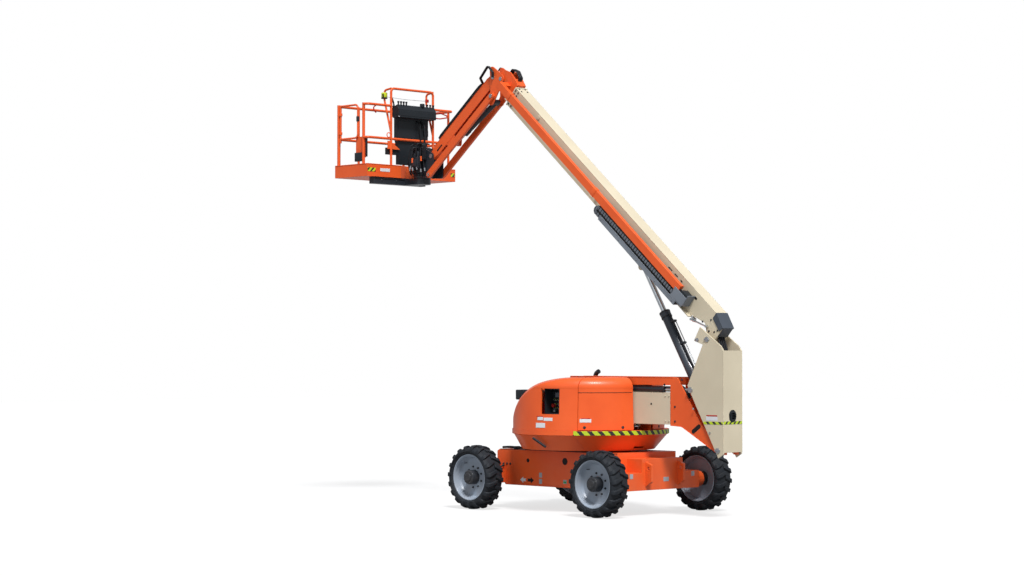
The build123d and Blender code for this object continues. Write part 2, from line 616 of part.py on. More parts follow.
jib_place = Pos(jib_top_pin[0], 0, jib_top_pin[1]) * Rot(0, -jib_angle, 0)
beam_half_h = 80.0
beam_half_w = bracket_y[0] - 7
beam_wall = 12.0
beam_side = (beam_half_w - beam_wall - 10, beam_half_w)
beam = block((110, 1600), (-beam_half_w, beam_half_w), (-beam_half_h, beam_half_h))
beam = beam - block((109, 1560), (-beam_half_w + beam_wall, beam_half_w - beam_wall),
                    (-beam_half_h - 1, beam_half_h - beam_wall))
for side in (1, -1):
    root = hull_plate([(0, 0, 62), (140, 26, 60), (140, -26, 60)], y_range(side, *beam_side))
    ear = hull_plate([(*jib_eye_local, 36), (1400, -60, 30), (1200, -60, 30)], y_range(side, *beam_side))
    beam = beam + root + ear
beam = beam + hull_plate([(jib_length, 0, 50), (1610, -20, 55), (1610, 20, 55)], (-beam_half_w, beam_half_w))
beam = beam - cross_pin((0, 0), 26 + pin_gap, (-200, 200)) - cross_pin((jib_length, 0), 26 + pin_gap,
                                                                       (-200, 200))
save("jib_boom", jib_place * beam)
carrier_s = (330.0, 1500.0)
channel = block(carrier_s, (-55, 55), (beam_half_h + pin_gap, beam_half_h + 38))
channel = channel - block((carrier_s[0] - 1, carrier_s[1] - 8), (-49, 49), (beam_half_h + 6, beam_half_h + 33))
jib_hoses = channel
for y, reach in ((-30, -124), (0, 124), (30, 150)):
    path = [(carrier_s[0] + 300, y, 105), (carrier_s[0] - 40, y, 112), (190, reach, 150), (-48, reach, 181),
            (-62, reach, 40),
            (-12, reach, -20)]
    jib_hoses = jib_hoses + bent_tube(path, 28, 11)
save("jib_hoses", jib_place * jib_hoses)
lower_half = 50.0
lower = None
low_place = Pos(jib_low_pin[0], 0, jib_low_pin[1]) * Rot(0, -jib_angle, 0)
for side in (1, -1):
    link = block((0, jib_length), y_range(side, *lower_y), (-lower_half, lower_half))
    for s in (0, jib_length):
        link = link + cross_pin((s, 0), lower_half, y_range(side, *lower_y))
    for s in (0, jib_length):
        link = link - cross_pin((s, 0), 24 + pin_gap, (-200, 200))
    lower = link if lower is None else lower + link
save("jib_links", low_place * lower)
jib_eye = shifted(jib_top_pin, turned(jib_angle, *jib_eye_local))
jib_barrel, jib_rod = cylinder(jib_cylinder_base, jib_eye, 42, 22, 800, 52, 20, 185)
save("jib_barrel", jib_barrel)
save("jib_rod", jib_rod)

# ---- platform support -----------------------------------------------------------------------
support_foot = 50.0
support = None
for side in (1, -1):
    plate = hull_plate([(*support_top_pin, 55), (*support_low_pin, support_foot),
                        (rotator_x - 130, support_low_pin[1] + 8, support_foot),
                        (rotator_x - 130, support_top_pin[1] + 90, support_foot)], y_range(side, *bracket_y))
    support = plate if support is None else support + plate
support = support + cross_pin(support_top_pin, 26, (-100, 100))
for side in (1, -1):
    support = support + cross_pin(support_low_pin, 24, y_range(side, *link_pin_y))
rotator_radius = 135.0
rotator_z = (support_low_pin[1] + 8 - support_foot - pin_gap + running_gap, 5390.0)
rotator = Pos(rotator_x, 0, sum(rotator_z) / 2) * Cylinder(rotator_radius, rotator_z[1] - rotator_z[0])
web = block((rotator_x - 150, rotator_x), (-bracket_y[1], bracket_y[1]), (rotator_z[0] + 10, rotator_z[1] - 10))
support = support + rotator + web
spin_radius = 60.0
support = support - Pos(rotator_x, 0, rotator_z[0]) * Cylinder(spin_radius + turning_gap, 400)
save("platform_support", support)
hose_table = [  # y beside the plate, x of the loop, radius
    (124.0, 3400.0, 11.0), (150.0, 3450.0, 11.0), (176.0, 3500.0, 10.0)]
platform_hoses = None
for y, x, radius in hose_table:
    hose = bent_tube([(3340, y, 5200), (3340, y, 5440), (x + 60, y, 5440), (x + 60, y, 5000),
                      (x + 10, y, 4965)], 40, radius)
    hose = hose + block((3325, 3355), (bracket_y[1] + pin_gap, y), (5195, 5225))
    platform_hoses = hose if platform_hoses is None else platform_hoses + hose
save("platform_hoses", platform_hoses)

beam_z = (4825.0, rotator_z[0] - running_gap)
carrier_y = (-300.0, 750.0)
carrier = block((platform_rear + 20, platform_rear + 140), carrier_y, (beam_z[0], platform_floor_z - pin_gap))
carrier = carrier + block((rotator_x, platform_rear + 140), (-130, 130), (beam_z[0], beam_z[1]))
carrier = carrier + Pos(rotator_x, 0, sum(beam_z) / 2) * Cylinder(130, beam_z[1] - beam_z[0])
carrier = carrier + Pos(rotator_x, 0, rotator_z[0] + 90) * Cylinder(spin_radius, 200)
save("platform_carrier", carrier)

# ---- platform -------------------------------------------------------------------------------
half_platform = platform_width / 2
front_x = platform_rear + platform_depth
toe_top = platform_floor_z + 195
sheet = 15.0
recess_half, recess_flat, recess_depth = 230.0, 60.0, 60.0


def plan_plate(points, z):
    """Outline of (x, y) points, made thick between the two values of z."""
    wire = Polyline(*[(px, py, z[0]) for px, py in points], close=True)
    return extrude(make_face(wire), amount=z[1] - z[0], dir=(0, 0, 1))


def tray_outline(wall):
    rear, half = platform_rear + wall, half_platform - wall
    outline = [(front_x - wall, half), (rear, half), (rear, recess_half + wall / 4)]
    for y in (recess_flat + wall / 2, -recess_flat - wall / 2):
        outline.append((rear + recess_depth, y))
    return outline + [(rear, -recess_half - wall / 4), (rear, -half), (front_x - wall, -half)]


tray = plan_plate(tray_outline(0), (platform_floor_z, toe_top))
tray = tray - plan_plate(tray_outline(sheet), (platform_floor_z + 25, toe_top + 1))
tread_margin = 80.0
tread_top = platform_floor_z + 29.0
tray = tray + block((platform_rear + tread_margin, front_x - tread_margin),
                    (-half_platform + tread_margin, half_platform - tread_margin),
                    (platform_floor_z + 25, tread_top))
save("platform_floor", tray)
tube = 20.0
inset = sheet + tube + pin_gap
rail_z = platform_floor_z + 20 + rail_height
mid_z = platform_floor_z + 600
rail_x = (platform_rear + inset, front_x - inset)
rail_y = half_platform - inset
gate_x = (3915.0, 4470.0)


arch_left, arch_right = 400.0, -470.0
rear_left = [(gate_x[0], rail_y), (rail_x[0], rail_y), (rail_x[0], arch_left)]
around = [(rail_x[0], arch_right), (rail_x[0], -rail_y), (rail_x[1], -rail_y), (rail_x[1], rail_y - 20)]
rails = bent_tube([(x, y, rail_z) for x, y in rear_left], 45, tube)
rails = rails + bent_tube([(x, y, rail_z) for x, y in around], 45, tube)
rails = rails + bent_tube([(x, y, mid_z) for x, y in rear_left[:2] + around[1:]], 45, tube)
post_table = [  # x, y, radius
    (rail_x[1] - 6, rail_y - 6, 26), (gate_x[0] + 3, rail_y - 3, tube + 3), (rail_x[1], 467, tube - 1),
    (rail_x[1], -467, tube - 1), (rail_x[1] - 90, -rail_y, tube - 1), (rail_x[0] + 90, -rail_y, tube - 1)]
for x, y, radius in post_table:
    rails = rails + round_bar((x, y, platform_floor_z + 25), (x, y, rail_z + 22), radius)
arch_z = platform_floor_z + 1380
arch_foot = platform_floor_z + 25
arch = bent_tube([(rail_x[0], arch_left, arch_foot), (rail_x[0], arch_left, arch_z),
                  (rail_x[0], arch_right, arch_z),
                  (rail_x[0], arch_right, arch_foot)], 60, tube - 1)
rails = rails + arch
arm_reach = 155.0
for y in (arch_left, arch_right):
    arm = bent_tube([(rail_x[0], y, arch_z), (rail_x[0] + arm_reach, y, arch_z - 20),
                     (rail_x[0] + arm_reach, y, arch_z - 170),
                     (rail_x[0], y, arch_z - 690)], 50, tube - 4)
    rails = rails + arm
gusset_z = platform_floor_z + 440
gusset = Plane.YZ.offset(rail_x[0] - 6) * Polyline((arch_left + 70, gusset_z + 125),
                                                   (arch_left + 15, gusset_z + 125),
                                                   (arch_left - 180, gusset_z),
                                                   (arch_left + 70, gusset_z), close=True)
rails = rails + extrude(make_face(gusset), amount=12, dir=(1, 0, 0))
document_plate = block((gate_x[0] - 30, gate_x[0] + 200), (rail_y - 26, rail_y - 18),
                       (platform_floor_z + 290, mid_z + 15))
rails = rails + document_plate
gate_bar = (gate_x[1] - 12, rail_y)
for z in (mid_z + 90, rail_z - 130):
    lug = Pos(gate_bar[0], gate_bar[1], z) * Cylinder(26, 40)
    rails = rails + lug + block((gate_bar[0], rail_x[1]), (rail_y - 16, rail_y + 6), (z - 20, z + 20))
rails = rails - round_bar((*gate_bar, mid_z - 100), (*gate_bar, rail_z + 100), 16 + pin_gap)
save("platform_rails", rails)
gate_edge = gate_x[0] + 135
gate = bent_tube([(gate_bar[0], rail_y, mid_z), (gate_edge, rail_y, mid_z), (gate_edge, rail_y, rail_z),
                  (gate_bar[0], rail_y, rail_z)], 60, 15)
gate = gate + round_bar((*gate_bar, mid_z - 60), (*gate_bar, rail_z + 16), 16)
save("platform_gate", gate)
console_y = (arch_right + tube - 1 + pin_gap, 330.0)
console_front = platform_rear - 60
console = side_plate([(console_front, 5990), (console_front + 40, 6060), (3880, 6020), (3880, 5880),
                      (3860, 5860),
                      (console_front, 5870)], console_y)
hood_front = rail_x[0] + tube + pin_gap
hood_outline = [(270, 5880), (270, 5560), (222, 5360), (-350, 5360), (-380, 5560), (-390, 5880)]
console_hood = extrude(make_face(Plane.YZ.offset(hood_front) * Polyline(*hood_outline, close=True)), amount=60,
                       dir=(1, 0, 0))
pedestal = block((hood_front, hood_front + 60), (-80, 232), (toe_top + 20, 5365))
foot_box = block((hood_front, hood_front + 60), (232, 452), (5290, 5395))
console = console + console_hood + pedestal + foot_box
save("console", console)
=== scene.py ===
import bpy, bmesh, json, math
from contextlib import contextmanager
from mathutils import Matrix, Vector


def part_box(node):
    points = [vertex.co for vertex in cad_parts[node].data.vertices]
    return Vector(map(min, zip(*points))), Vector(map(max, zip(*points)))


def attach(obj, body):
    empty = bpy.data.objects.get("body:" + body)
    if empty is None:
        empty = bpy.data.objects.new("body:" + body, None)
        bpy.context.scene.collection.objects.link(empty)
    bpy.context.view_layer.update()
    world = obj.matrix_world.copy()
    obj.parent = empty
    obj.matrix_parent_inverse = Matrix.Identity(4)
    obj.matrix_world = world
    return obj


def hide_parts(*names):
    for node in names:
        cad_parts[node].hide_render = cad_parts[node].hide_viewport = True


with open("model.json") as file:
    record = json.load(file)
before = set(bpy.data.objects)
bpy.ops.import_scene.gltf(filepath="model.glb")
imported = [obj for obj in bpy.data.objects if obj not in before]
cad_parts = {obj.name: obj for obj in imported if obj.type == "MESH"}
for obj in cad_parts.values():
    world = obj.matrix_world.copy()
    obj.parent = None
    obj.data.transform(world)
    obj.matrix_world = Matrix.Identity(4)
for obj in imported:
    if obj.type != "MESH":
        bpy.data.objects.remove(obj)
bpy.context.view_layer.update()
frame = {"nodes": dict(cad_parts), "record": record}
nodes = frame["nodes"]
print("frame loaded,", len(nodes), "nodes")

bearingLow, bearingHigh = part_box("swing_bearing")
swingX = (bearingLow[0] + bearingHigh[0]) / 2  # the swing axis; the lists below count X from it
fullTurn = 2 * math.pi
leftRight = {1: "left", -1: "right"}


def at(x, y, z):
    return Vector((x + swingX, y, z))


def turnedUp(x, z, angle, y=0.0):  # a frame along a boom: its own X runs up the boom
    return Matrix.Translation(at(x, y, z)) @ Matrix.Rotation(-math.radians(angle), 4, "Y")


def sideRange(side, near, far):  # a stretch of Y on the machine's left, or its mirror image
    return (near, far) if side > 0 else (-far, -near)


def aroundCircle(radius, count, offset=0.0):
    for step in range(count):
        a = fullTurn * (step + offset) / count
        yield radius * math.cos(a), radius * math.sin(a)


liftPin, liftEye = (-2.100, 1.729), (-1.087, 3.440)  # x and z of the lift cylinder's two ends
onMachine = Matrix.Translation((swingX, 0, 0))
onFrame = Matrix.Identity(4)
onBoom = turnedUp(-2.403, 2.420, 41.0)
onJib = turnedUp(1.860, 6.340, -38.5)
onLift = turnedUp(*liftPin, math.degrees(math.atan2(liftEye[1] - liftPin[1], liftEye[0] - liftPin[0])))

# materials

def nodeIn(tree, kind, **values):
    node = tree.nodes.new(kind)
    for key, value in values.items():
        if key in node.inputs:
            node.inputs[key].default_value = value
        else:
            setattr(node, key, value)
    return node


def setOrLink(tree, socket, value):
    if isinstance(value, bpy.types.NodeSocket):
        tree.links.new(value, socket)
    else:
        socket.default_value = value


def mixColour(tree, factor, first, second):
    mix = nodeIn(tree, "ShaderNodeMix", data_type="RGBA", blend_type="MIX")
    for index, value in ((0, factor), (6, first), (7, second)):
        setOrLink(tree, mix.inputs[index], value)
    return mix.outputs[2]


def maths(tree, operation, first, second):
    node = nodeIn(tree, "ShaderNodeMath", operation=operation)
    setOrLink(tree, node.inputs[0], first)
    setOrLink(tree, node.inputs[1], second)
    return node.outputs[0]


def rangeOf(tree, value, zeroAt, oneAt):
    ramp = nodeIn(tree, "ShaderNodeMapRange")
    ramp.inputs["From Min"].default_value = zeroAt
    ramp.inputs["From Max"].default_value = oneAt
    tree.links.new(value, ramp.inputs["Value"])
    return ramp.outputs["Result"]


def noiseOf(tree, coords, scale, detail=3.0, low=0.35, high=0.65):
    noise = nodeIn(tree, "ShaderNodeTexNoise", Scale=scale, Detail=detail)
    tree.links.new(coords, noise.inputs["Vector"])
    return rangeOf(tree, noise.outputs["Fac"], low, high)


def varied(tree, mask, amount, start):  # start, raised by up to amount where the mask is 1
    return maths(tree, "ADD", maths(tree, "MULTIPLY", mask, amount), start)


def times(colour, factor):
    return tuple(c * factor for c in colour[:3]) + (1,)


def startMaterial(name):
    material = bpy.data.materials.new(name)
    material.use_nodes = True
    tree = material.node_tree
    coords = tree.nodes.new("ShaderNodeTexCoord").outputs["Object"]
    return material, tree, tree.nodes["Principled BSDF"], coords


def finishBump(tree, shader, height, strength, distance, rounding=0.0):
    bump = nodeIn(tree, "ShaderNodeBump", Strength=strength, Distance=distance)
    tree.links.new(height, bump.inputs["Height"])
    if rounding:
        soft = nodeIn(tree, "ShaderNodeBevel", samples=4, Radius=rounding)
        tree.links.new(soft.outputs["Normal"], bump.inputs["Normal"])
    tree.links.new(bump.outputs["Normal"], shader.inputs["Normal"])


def edgeMask(tree, radius, low, high):  # 1 on sharp edges, where a rounded normal leaves the plain one
    soft = nodeIn(tree, "ShaderNodeBevel", samples=4, Radius=radius)
    plain = tree.nodes.new("ShaderNodeNewGeometry")
    dot = nodeIn(tree, "ShaderNodeVectorMath", operation="DOT_PRODUCT")
    tree.links.new(soft.outputs["Normal"], dot.inputs[0])
    tree.links.new(plain.outputs["Normal"], dot.inputs[1])
    return rangeOf(tree, dot.outputs["Value"], high, low)


def makePaint(name, base, faded, worn, roughness, coat, dust):
    dirt, dirtFrom, dirtFull = (0.30, 0.22, 0.15, 1), 1.1, 0.15  # colour, and two heights in metres
    material, tree, shader, coords = startMaterial(name)
    broad = noiseOf(tree, coords, 1.7, 4.0)
    fine = noiseOf(tree, coords, 38.0, 2.0, 0.3, 0.8)
    colour = mixColour(tree, broad, base, faded)
    edges = maths(tree, "MULTIPLY", edgeMask(tree, 0.008, 0.55, 0.93), fine)
    colour = mixColour(tree, maths(tree, "MULTIPLY", edges, 0.55), colour, worn)
    split = tree.nodes.new("ShaderNodeSeparateXYZ")
    tree.links.new(coords, split.inputs[0])
    ground = rangeOf(tree, split.outputs["Z"], dirtFrom, dirtFull)
    dusty = maths(tree, "MULTIPLY", ground, maths(tree, "MULTIPLY", noiseOf(tree, coords, 5.5, 5.0), dust))
    tree.links.new(mixColour(tree, dusty, colour, dirt), shader.inputs["Base Color"])
    tree.links.new(varied(tree, fine, 0.10, roughness - 0.05), shader.inputs["Roughness"])
    shader.inputs["Coat Weight"].default_value = coat
    shader.inputs["Coat Roughness"].default_value = 0.18
    shader.inputs["Specular IOR Level"].default_value = 0.35
    peel = nodeIn(tree, "ShaderNodeTexNoise", Scale=210.0, Detail=1.0)
    tree.links.new(coords, peel.inputs["Vector"])
    finishBump(tree, shader, peel.outputs["Fac"], 0.10, 0.0012, 0.006)
    return material


def makeMetal(name, base, roughness):
    material, tree, shader, coords = startMaterial(name)
    streaks = nodeIn(tree, "ShaderNodeMapping", vector_type="POINT", Scale=(4.0, 60.0, 4.0))
    tree.links.new(coords, streaks.inputs["Vector"])
    lines = noiseOf(tree, streaks.outputs["Vector"], 6.0, 4.0)
    tree.links.new(mixColour(tree, lines, base, times(base, 0.8)), shader.inputs["Base Color"])
    tree.links.new(varied(tree, lines, 0.10, roughness), shader.inputs["Roughness"])
    shader.inputs["Metallic"].default_value = 1.0
    finishBump(tree, shader, lines, 0.05, 0.0006, 0.002)
    return material


def makeRubber(name, base, dusty, roughness, grainScale, grain):
    material, tree, shader, coords = startMaterial(name)
    patches = noiseOf(tree, coords, 7.0, 5.0, 0.42, 0.75)
    grit = noiseOf(tree, coords, grainScale, 3.0)
    colour = mixColour(tree, maths(tree, "MULTIPLY", patches, 0.5), base, dusty)
    colour = mixColour(tree, maths(tree, "MULTIPLY", grit, 0.25), colour, times(base, 1.8))
    tree.links.new(colour, shader.inputs["Base Color"])
    tree.links.new(varied(tree, grit, 0.15, roughness), shader.inputs["Roughness"])
    shader.inputs["Specular IOR Level"].default_value = 0.3
    finishBump(tree, shader, grit, 0.25, grain, 0.004)
    return material


def makeStripes(name, mode, light, pitch, tilt):
    dark, grime, ringRadius, lightShare = (0.012, 0.012, 0.012, 1), (0.25, 0.22, 0.16, 1), 1.15, 0.55
    material, tree, shader, coords = startMaterial(name)
    split = tree.nodes.new("ShaderNodeSeparateXYZ")
    tree.links.new(coords, split.inputs[0])
    if mode == "ring":  # distance round the swing axis
        across = maths(tree, "SUBTRACT", split.outputs["X"], swingX)
        run = maths(tree, "MULTIPLY", maths(tree, "ARCTAN2", split.outputs["Y"], across), ringRadius)
    else:
        run = split.outputs[mode]
    slanted = maths(tree, "ADD", run, maths(tree, "MULTIPLY", split.outputs["Z"], tilt))
    turn = maths(tree, "FLOORED_MODULO", maths(tree, "DIVIDE", slanted, pitch), 1.0)
    fine = noiseOf(tree, coords, 45.0, 3.0)
    colour = mixColour(tree, maths(tree, "GREATER_THAN", turn, lightShare), light, dark)
    colour = mixColour(tree, maths(tree, "MULTIPLY", fine, 0.12), colour, grime)
    tree.links.new(colour, shader.inputs["Base Color"])
    shader.inputs["Roughness"].default_value = 0.42
    finishBump(tree, shader, fine, 0.05, 0.0008)
    return material


def makePlastic(name, base, roughness):
    material, tree, shader, coords = startMaterial(name)
    fine = noiseOf(tree, coords, 150.0, 2.0)
    broad = noiseOf(tree, coords, 6.0, 3.0)
    colour = mixColour(tree, maths(tree, "MULTIPLY", broad, 0.35), base, times(base, 0.75))
    tree.links.new(colour, shader.inputs["Base Color"])
    tree.links.new(varied(tree, fine, 0.06, roughness), shader.inputs["Roughness"])
    shader.inputs["Specular IOR Level"].default_value = 0.35
    finishBump(tree, shader, fine, 0.12, 0.0008, 0.003)
    return material


def makeTread(name, base, pitch):  # raised diamond plate
    material, tree, shader, coords = startMaterial(name)
    turnedCoords = nodeIn(tree, "ShaderNodeMapping", Rotation=(0, 0, math.radians(45)))
    tree.links.new(coords, turnedCoords.inputs["Vector"])
    checks = nodeIn(tree, "ShaderNodeTexVoronoi", Scale=1 / pitch)
    tree.links.new(turnedCoords.outputs["Vector"], checks.inputs["Vector"])
    raised = rangeOf(tree, checks.outputs["Distance"], 0.32, 0.2)
    tree.links.new(mixColour(tree, raised, base, times(base, 1.5)), shader.inputs["Base Color"])
    shader.inputs["Roughness"].default_value = 0.5
    shader.inputs["Metallic"].default_value = 0.4
    finishBump(tree, shader, raised, 0.6, 0.003)
    return material


lookTables = {
    makePaint: {  # base, faded, worn edge, roughness, coat, dust near the ground
        "orange_paint": ((0.83, 0.118, 0.022, 1), (0.75, 0.098, 0.017, 1), (0.42, 0.10, 0.05, 1),
                         0.42, 0.12, 0.12),
        "tan_paint": ((0.64, 0.565, 0.42, 1), (0.585, 0.515, 0.38, 1), (0.40, 0.36, 0.29, 1),
                      0.48, 0.08, 0.06),
        "rim_grey": ((0.30, 0.36, 0.44, 1), (0.25, 0.30, 0.37, 1), (0.16, 0.17, 0.19, 1), 0.42, 0.15, 0.22),
        "grey_steel": ((0.20, 0.23, 0.27, 1), (0.16, 0.18, 0.21, 1), (0.34, 0.35, 0.37, 1), 0.45, 0.1, 0.05),
        "dark_steel": ((0.020, 0.025, 0.033, 1), (0.015, 0.018, 0.024, 1), (0.16, 0.17, 0.18, 1),
                       0.38, 0.15, 0.10),
        "engine_iron": ((0.085, 0.085, 0.09, 1), (0.06, 0.06, 0.062, 1), (0.2, 0.2, 0.2, 1), 0.6, 0.0, 0.0),
    },
    makeMetal: {  # base, roughness
        "rod_chrome": ((0.70, 0.74, 0.78, 1), 0.16),
        "bright_steel": ((0.55, 0.57, 0.60, 1), 0.30),
    },
    makeRubber: {  # base, dusty, roughness, grain per metre, grain depth
        "tyre_rubber": ((0.010, 0.013, 0.018, 1), (0.034, 0.033, 0.033, 1), 0.62, 120.0, 0.0015),
        "hose_rubber": ((0.008, 0.009, 0.012, 1), (0.020, 0.020, 0.022, 1), 0.45, 260.0, 0.0006),
    },
    makePlastic: {  # base, roughness
        "black_plastic": ((0.012, 0.016, 0.021, 1), 0.45),
        "seam_black": ((0.008, 0.006, 0.006, 1), 0.6),
        "grey_plastic": ((0.14, 0.155, 0.18, 1), 0.4),
        # near black; on the holes and slots of the tower, fly arm, boom and jib it is painted shade
        "white_plate": ((0.70, 0.72, 0.75, 1), 0.4),
        "silver_plate": ((0.36, 0.38, 0.41, 1), 0.35),
        "red_plastic": ((0.45, 0.018, 0.014, 1), 0.35),
        "lime_plastic": ((0.55, 0.68, 0.03, 1), 0.35),
        "green_plastic": ((0.04, 0.30, 0.10, 1), 0.35),
        "lamp_glass": ((0.65, 0.70, 0.74, 1), 0.12),
        "cap_paint": ((0.060, 0.072, 0.092, 1), 0.38),
        "barrel_paint": ((0.045, 0.054, 0.070, 1), 0.32),
    },
    makeStripes: {  # which way they run, light colour, pitch, lean
        "hazard_ring": ("ring", (0.46, 0.62, 0.012, 1), 0.145, 0.9),
        "hazard_x": ("X", (0.50, 0.66, 0.012, 1), 0.11, -1.0),
        "hazard_y": ("Y", (0.50, 0.66, 0.012, 1), 0.085, 1.0),
    },
    makeTread: {"floor_tread": ((0.10, 0.105, 0.11, 1), 0.035)},  # base, pitch
}
finish = {}
for make, table in lookTables.items():
    for name, values in table.items():
        finish[name] = make(name + "_look", *values)
print("materials made,", len(finish))

ownLook = {"boom_tail_cap": "cap_paint", "lift_barrel": "barrel_paint"}  # nodes painted unlike their slot
for part in frame["record"]["subparts"]:
    for slot in nodes[part["node"]].material_slots:
        slot.material = finish[ownLook.get(part["node"], part["material_slot"])]

# helpers for the new pieces

@contextmanager
def newPiece(name, look, body, angle=35.0, slot=None, smooth=True, node=None):
    # hands over an empty bmesh, and makes it a piece that rides its body when the block ends
    shape = bmesh.new()
    yield shape
    bmesh.ops.recalc_face_normals(shape, faces=shape.faces)
    mesh = bpy.data.meshes.new(name)
    shape.to_mesh(mesh)
    shape.free()
    mesh.materials.append(finish[look])
    if smooth:
        mesh.shade_smooth()
        mesh.set_sharp_from_angle(angle=math.radians(angle))
    piece = bpy.data.objects.new(name, mesh)
    bpy.context.scene.collection.objects.link(piece)
    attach(piece, body)
    if node:
        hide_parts(node)


def addBox(shape, x, y, z, place=onMachine, bevel=0.0, steps=2):
    size = [high - low for low, high in (x, y, z)]
    middle = [(high + low) / 2 for low, high in (x, y, z)]
    made = bmesh.ops.create_cube(shape, size=1.0)["verts"]
    bmesh.ops.scale(shape, vec=size, verts=made)
    if bevel:
        edges = list({edge for vert in made for edge in vert.link_edges})
        made = bmesh.ops.bevel(shape, geom=edges, offset=min(bevel, min(size) * 0.45), offset_type="OFFSET",
                               segments=steps, profile=0.5, affect="EDGES", material=-1)["verts"]
    bmesh.ops.transform(shape, matrix=place @ Matrix.Translation(middle), verts=made)


def addPlate(shape, x, y, z, place=onMachine, bevel=0.001):  # a thin box with plain chamfers
    addBox(shape, x, y, z, place, bevel, 1)


def addBar(shape, start, end, radius, place=onMachine, sides=20, endRadius=None, bevel=0.0):
    a, b = place @ Vector(start), place @ Vector(end)
    along = b - a
    farRadius = radius if endRadius is None else endRadius
    made = bmesh.ops.create_cone(shape, cap_ends=True, segments=sides, radius1=radius, radius2=farRadius,
                                 depth=along.length)["verts"]
    if bevel:
        edges = {edge for vert in made for edge in vert.link_edges}
        rims = [edge for edge in edges if abs(edge.verts[0].co.z - edge.verts[1].co.z) < 1e-6]
        faces = bmesh.ops.bevel(shape, geom=rims, offset=bevel, offset_type="OFFSET", segments=2, profile=0.5,
                                affect="EDGES", material=-1)["faces"]
        rounded = {vert for face in faces for vert in face.verts}
        made = list(rounded | {other for vert in rounded for edge in vert.link_edges for other in edge.verts})
    turn = along.to_track_quat("Z", "Y").to_matrix().to_4x4()
    bmesh.ops.transform(shape, matrix=Matrix.Translation((a + b) / 2) @ turn, verts=made)


def addBolt(shape, spot, facing, radius=0.014, height=0.012, place=onMachine, washer=True):
    base, way = Vector(spot), Vector(facing).normalized()
    if washer:
        addBar(shape, base - way * 0.002, base + way * 0.003, radius * 1.45, place, 18)
    addBar(shape, base, base + way * height, radius, place, 6, radius * 0.94)


def addDisc(shape, spot, facing, radius, height, place=onMachine, sides=32):
    base, way = Vector(spot), Vector(facing).normalized()
    addBar(shape, base - way * 0.003, base + way * height, radius, place, sides)


def addTube(shape, points, radius, place=onMachine, sides=12, rounds=6, bend=0.03):
    run = [place @ Vector(p) for p in points]
    path = [run[0]]
    for before, corner, after in zip(run, run[1:], run[2:]):  # a short arc at each corner
        back, ahead = before - corner, after - corner
        reach = min(bend, back.length * 0.45, ahead.length * 0.45)
        first, last = corner + back.normalized() * reach, corner + ahead.normalized() * reach
        for step in range(rounds + 1):
            f = step / rounds
            path.append(first * (1 - f) ** 2 + corner * 2 * f * (1 - f) + last * f ** 2)
    path.append(run[-1])
    rings = []
    normal = None
    for index, point in enumerate(path):
        way = (path[min(index + 1, len(path) - 1)] - path[max(index - 1, 0)]).normalized()
        if normal is None:
            normal = way.orthogonal().normalized()
        normal = (normal - way * normal.dot(way)).normalized()
        ring = bmesh.ops.create_circle(shape, cap_ends=False, segments=sides, radius=radius)["verts"]
        turn = Matrix((normal, way.cross(normal), way)).transposed().to_4x4()
        bmesh.ops.transform(shape, matrix=Matrix.Translation(point) @ turn, verts=ring)
        rings.append(ring)
    wallBetween(shape, rings)


def wallBetween(shape, rings):  # joins rings of corners in order, with a face at each end
    count = len(rings[0])
    faces = [shape.faces.new(rings[0]), shape.faces.new(list(reversed(rings[-1])))]
    for low, high in zip(rings, rings[1:]):
        for i in range(count):
            j = (i + 1) % count
            faces.append(shape.faces.new((low[i], low[j], high[j], high[i])))
    return faces


def spinProfile(shape, profile, centre, axis="Y", steps=64, angle=fullTurn, start=0.0, closed=True):
    # profile is (radius, along) pairs; it is drawn in X and along, and turned round the axis
    spots = [(radius, along, 0) if axis == "Y" else (radius, 0, along) for radius, along in profile]
    corners = [shape.verts.new(spot) for spot in spots]
    edges = [shape.edges.new(pair) for pair in zip(corners, corners[1:])]
    if closed:
        edges.append(shape.edges.new((corners[-1], corners[0])))
    way = (0, 1, 0) if axis == "Y" else (0, 0, 1)
    full = abs(angle - fullTurn) < 1e-6
    if start:
        bmesh.ops.rotate(shape, cent=(0, 0, 0), matrix=Matrix.Rotation(start, 3, Vector(way)), verts=corners)
    before = set(shape.verts) - set(corners)
    bmesh.ops.spin(shape, geom=corners + edges, cent=(0, 0, 0), axis=way, angle=angle, steps=steps,
                   use_merge=full, use_duplicate=False)
    made = [vert for vert in shape.verts if vert not in before]
    if full:
        bmesh.ops.remove_doubles(shape, verts=made, dist=1e-5)
        made = [vert for vert in shape.verts if vert not in before]
    else:
        rims = [edge for vert in made for edge in vert.link_edges if edge.is_boundary]
        bmesh.ops.holes_fill(shape, edges=list(set(rims)), sides=0)
    bmesh.ops.translate(shape, vec=Vector(centre), verts=made)


# wheels
wheel = {
    "treadRadius": 0.458, "carcassRadius": 0.426, "halfWidth": 0.158, "beadRadius": 0.3303, "lugs": 19,
    "holeCircle": 0.150, "studs": 9, "studRadius": 0.011, "seatGap": 0.0008,
}


def tyreCarcass(shape):
    half, outer, bead = wheel["halfWidth"], wheel["carcassRadius"], wheel["beadRadius"]
    wall = [(bead, 0.040), (bead + 0.012, 0.022), (bead + 0.030, 0.012), (bead + 0.036, 0.016),
            (bead + 0.042, 0.008), (outer - 0.058, 0.001), (outer - 0.030, 0.008), (outer - 0.008, 0.034),
            (outer, 0.070)]  # radius, and how far in from the tyre's side
    profile = [(radius, inset - half) for radius, inset in wall] + [(outer + 0.003, 0.0)]
    profile += [(radius, half - inset) for radius, inset in reversed(wall)]
    spinProfile(shape, profile, (0, 0, 0), "Y", 72)


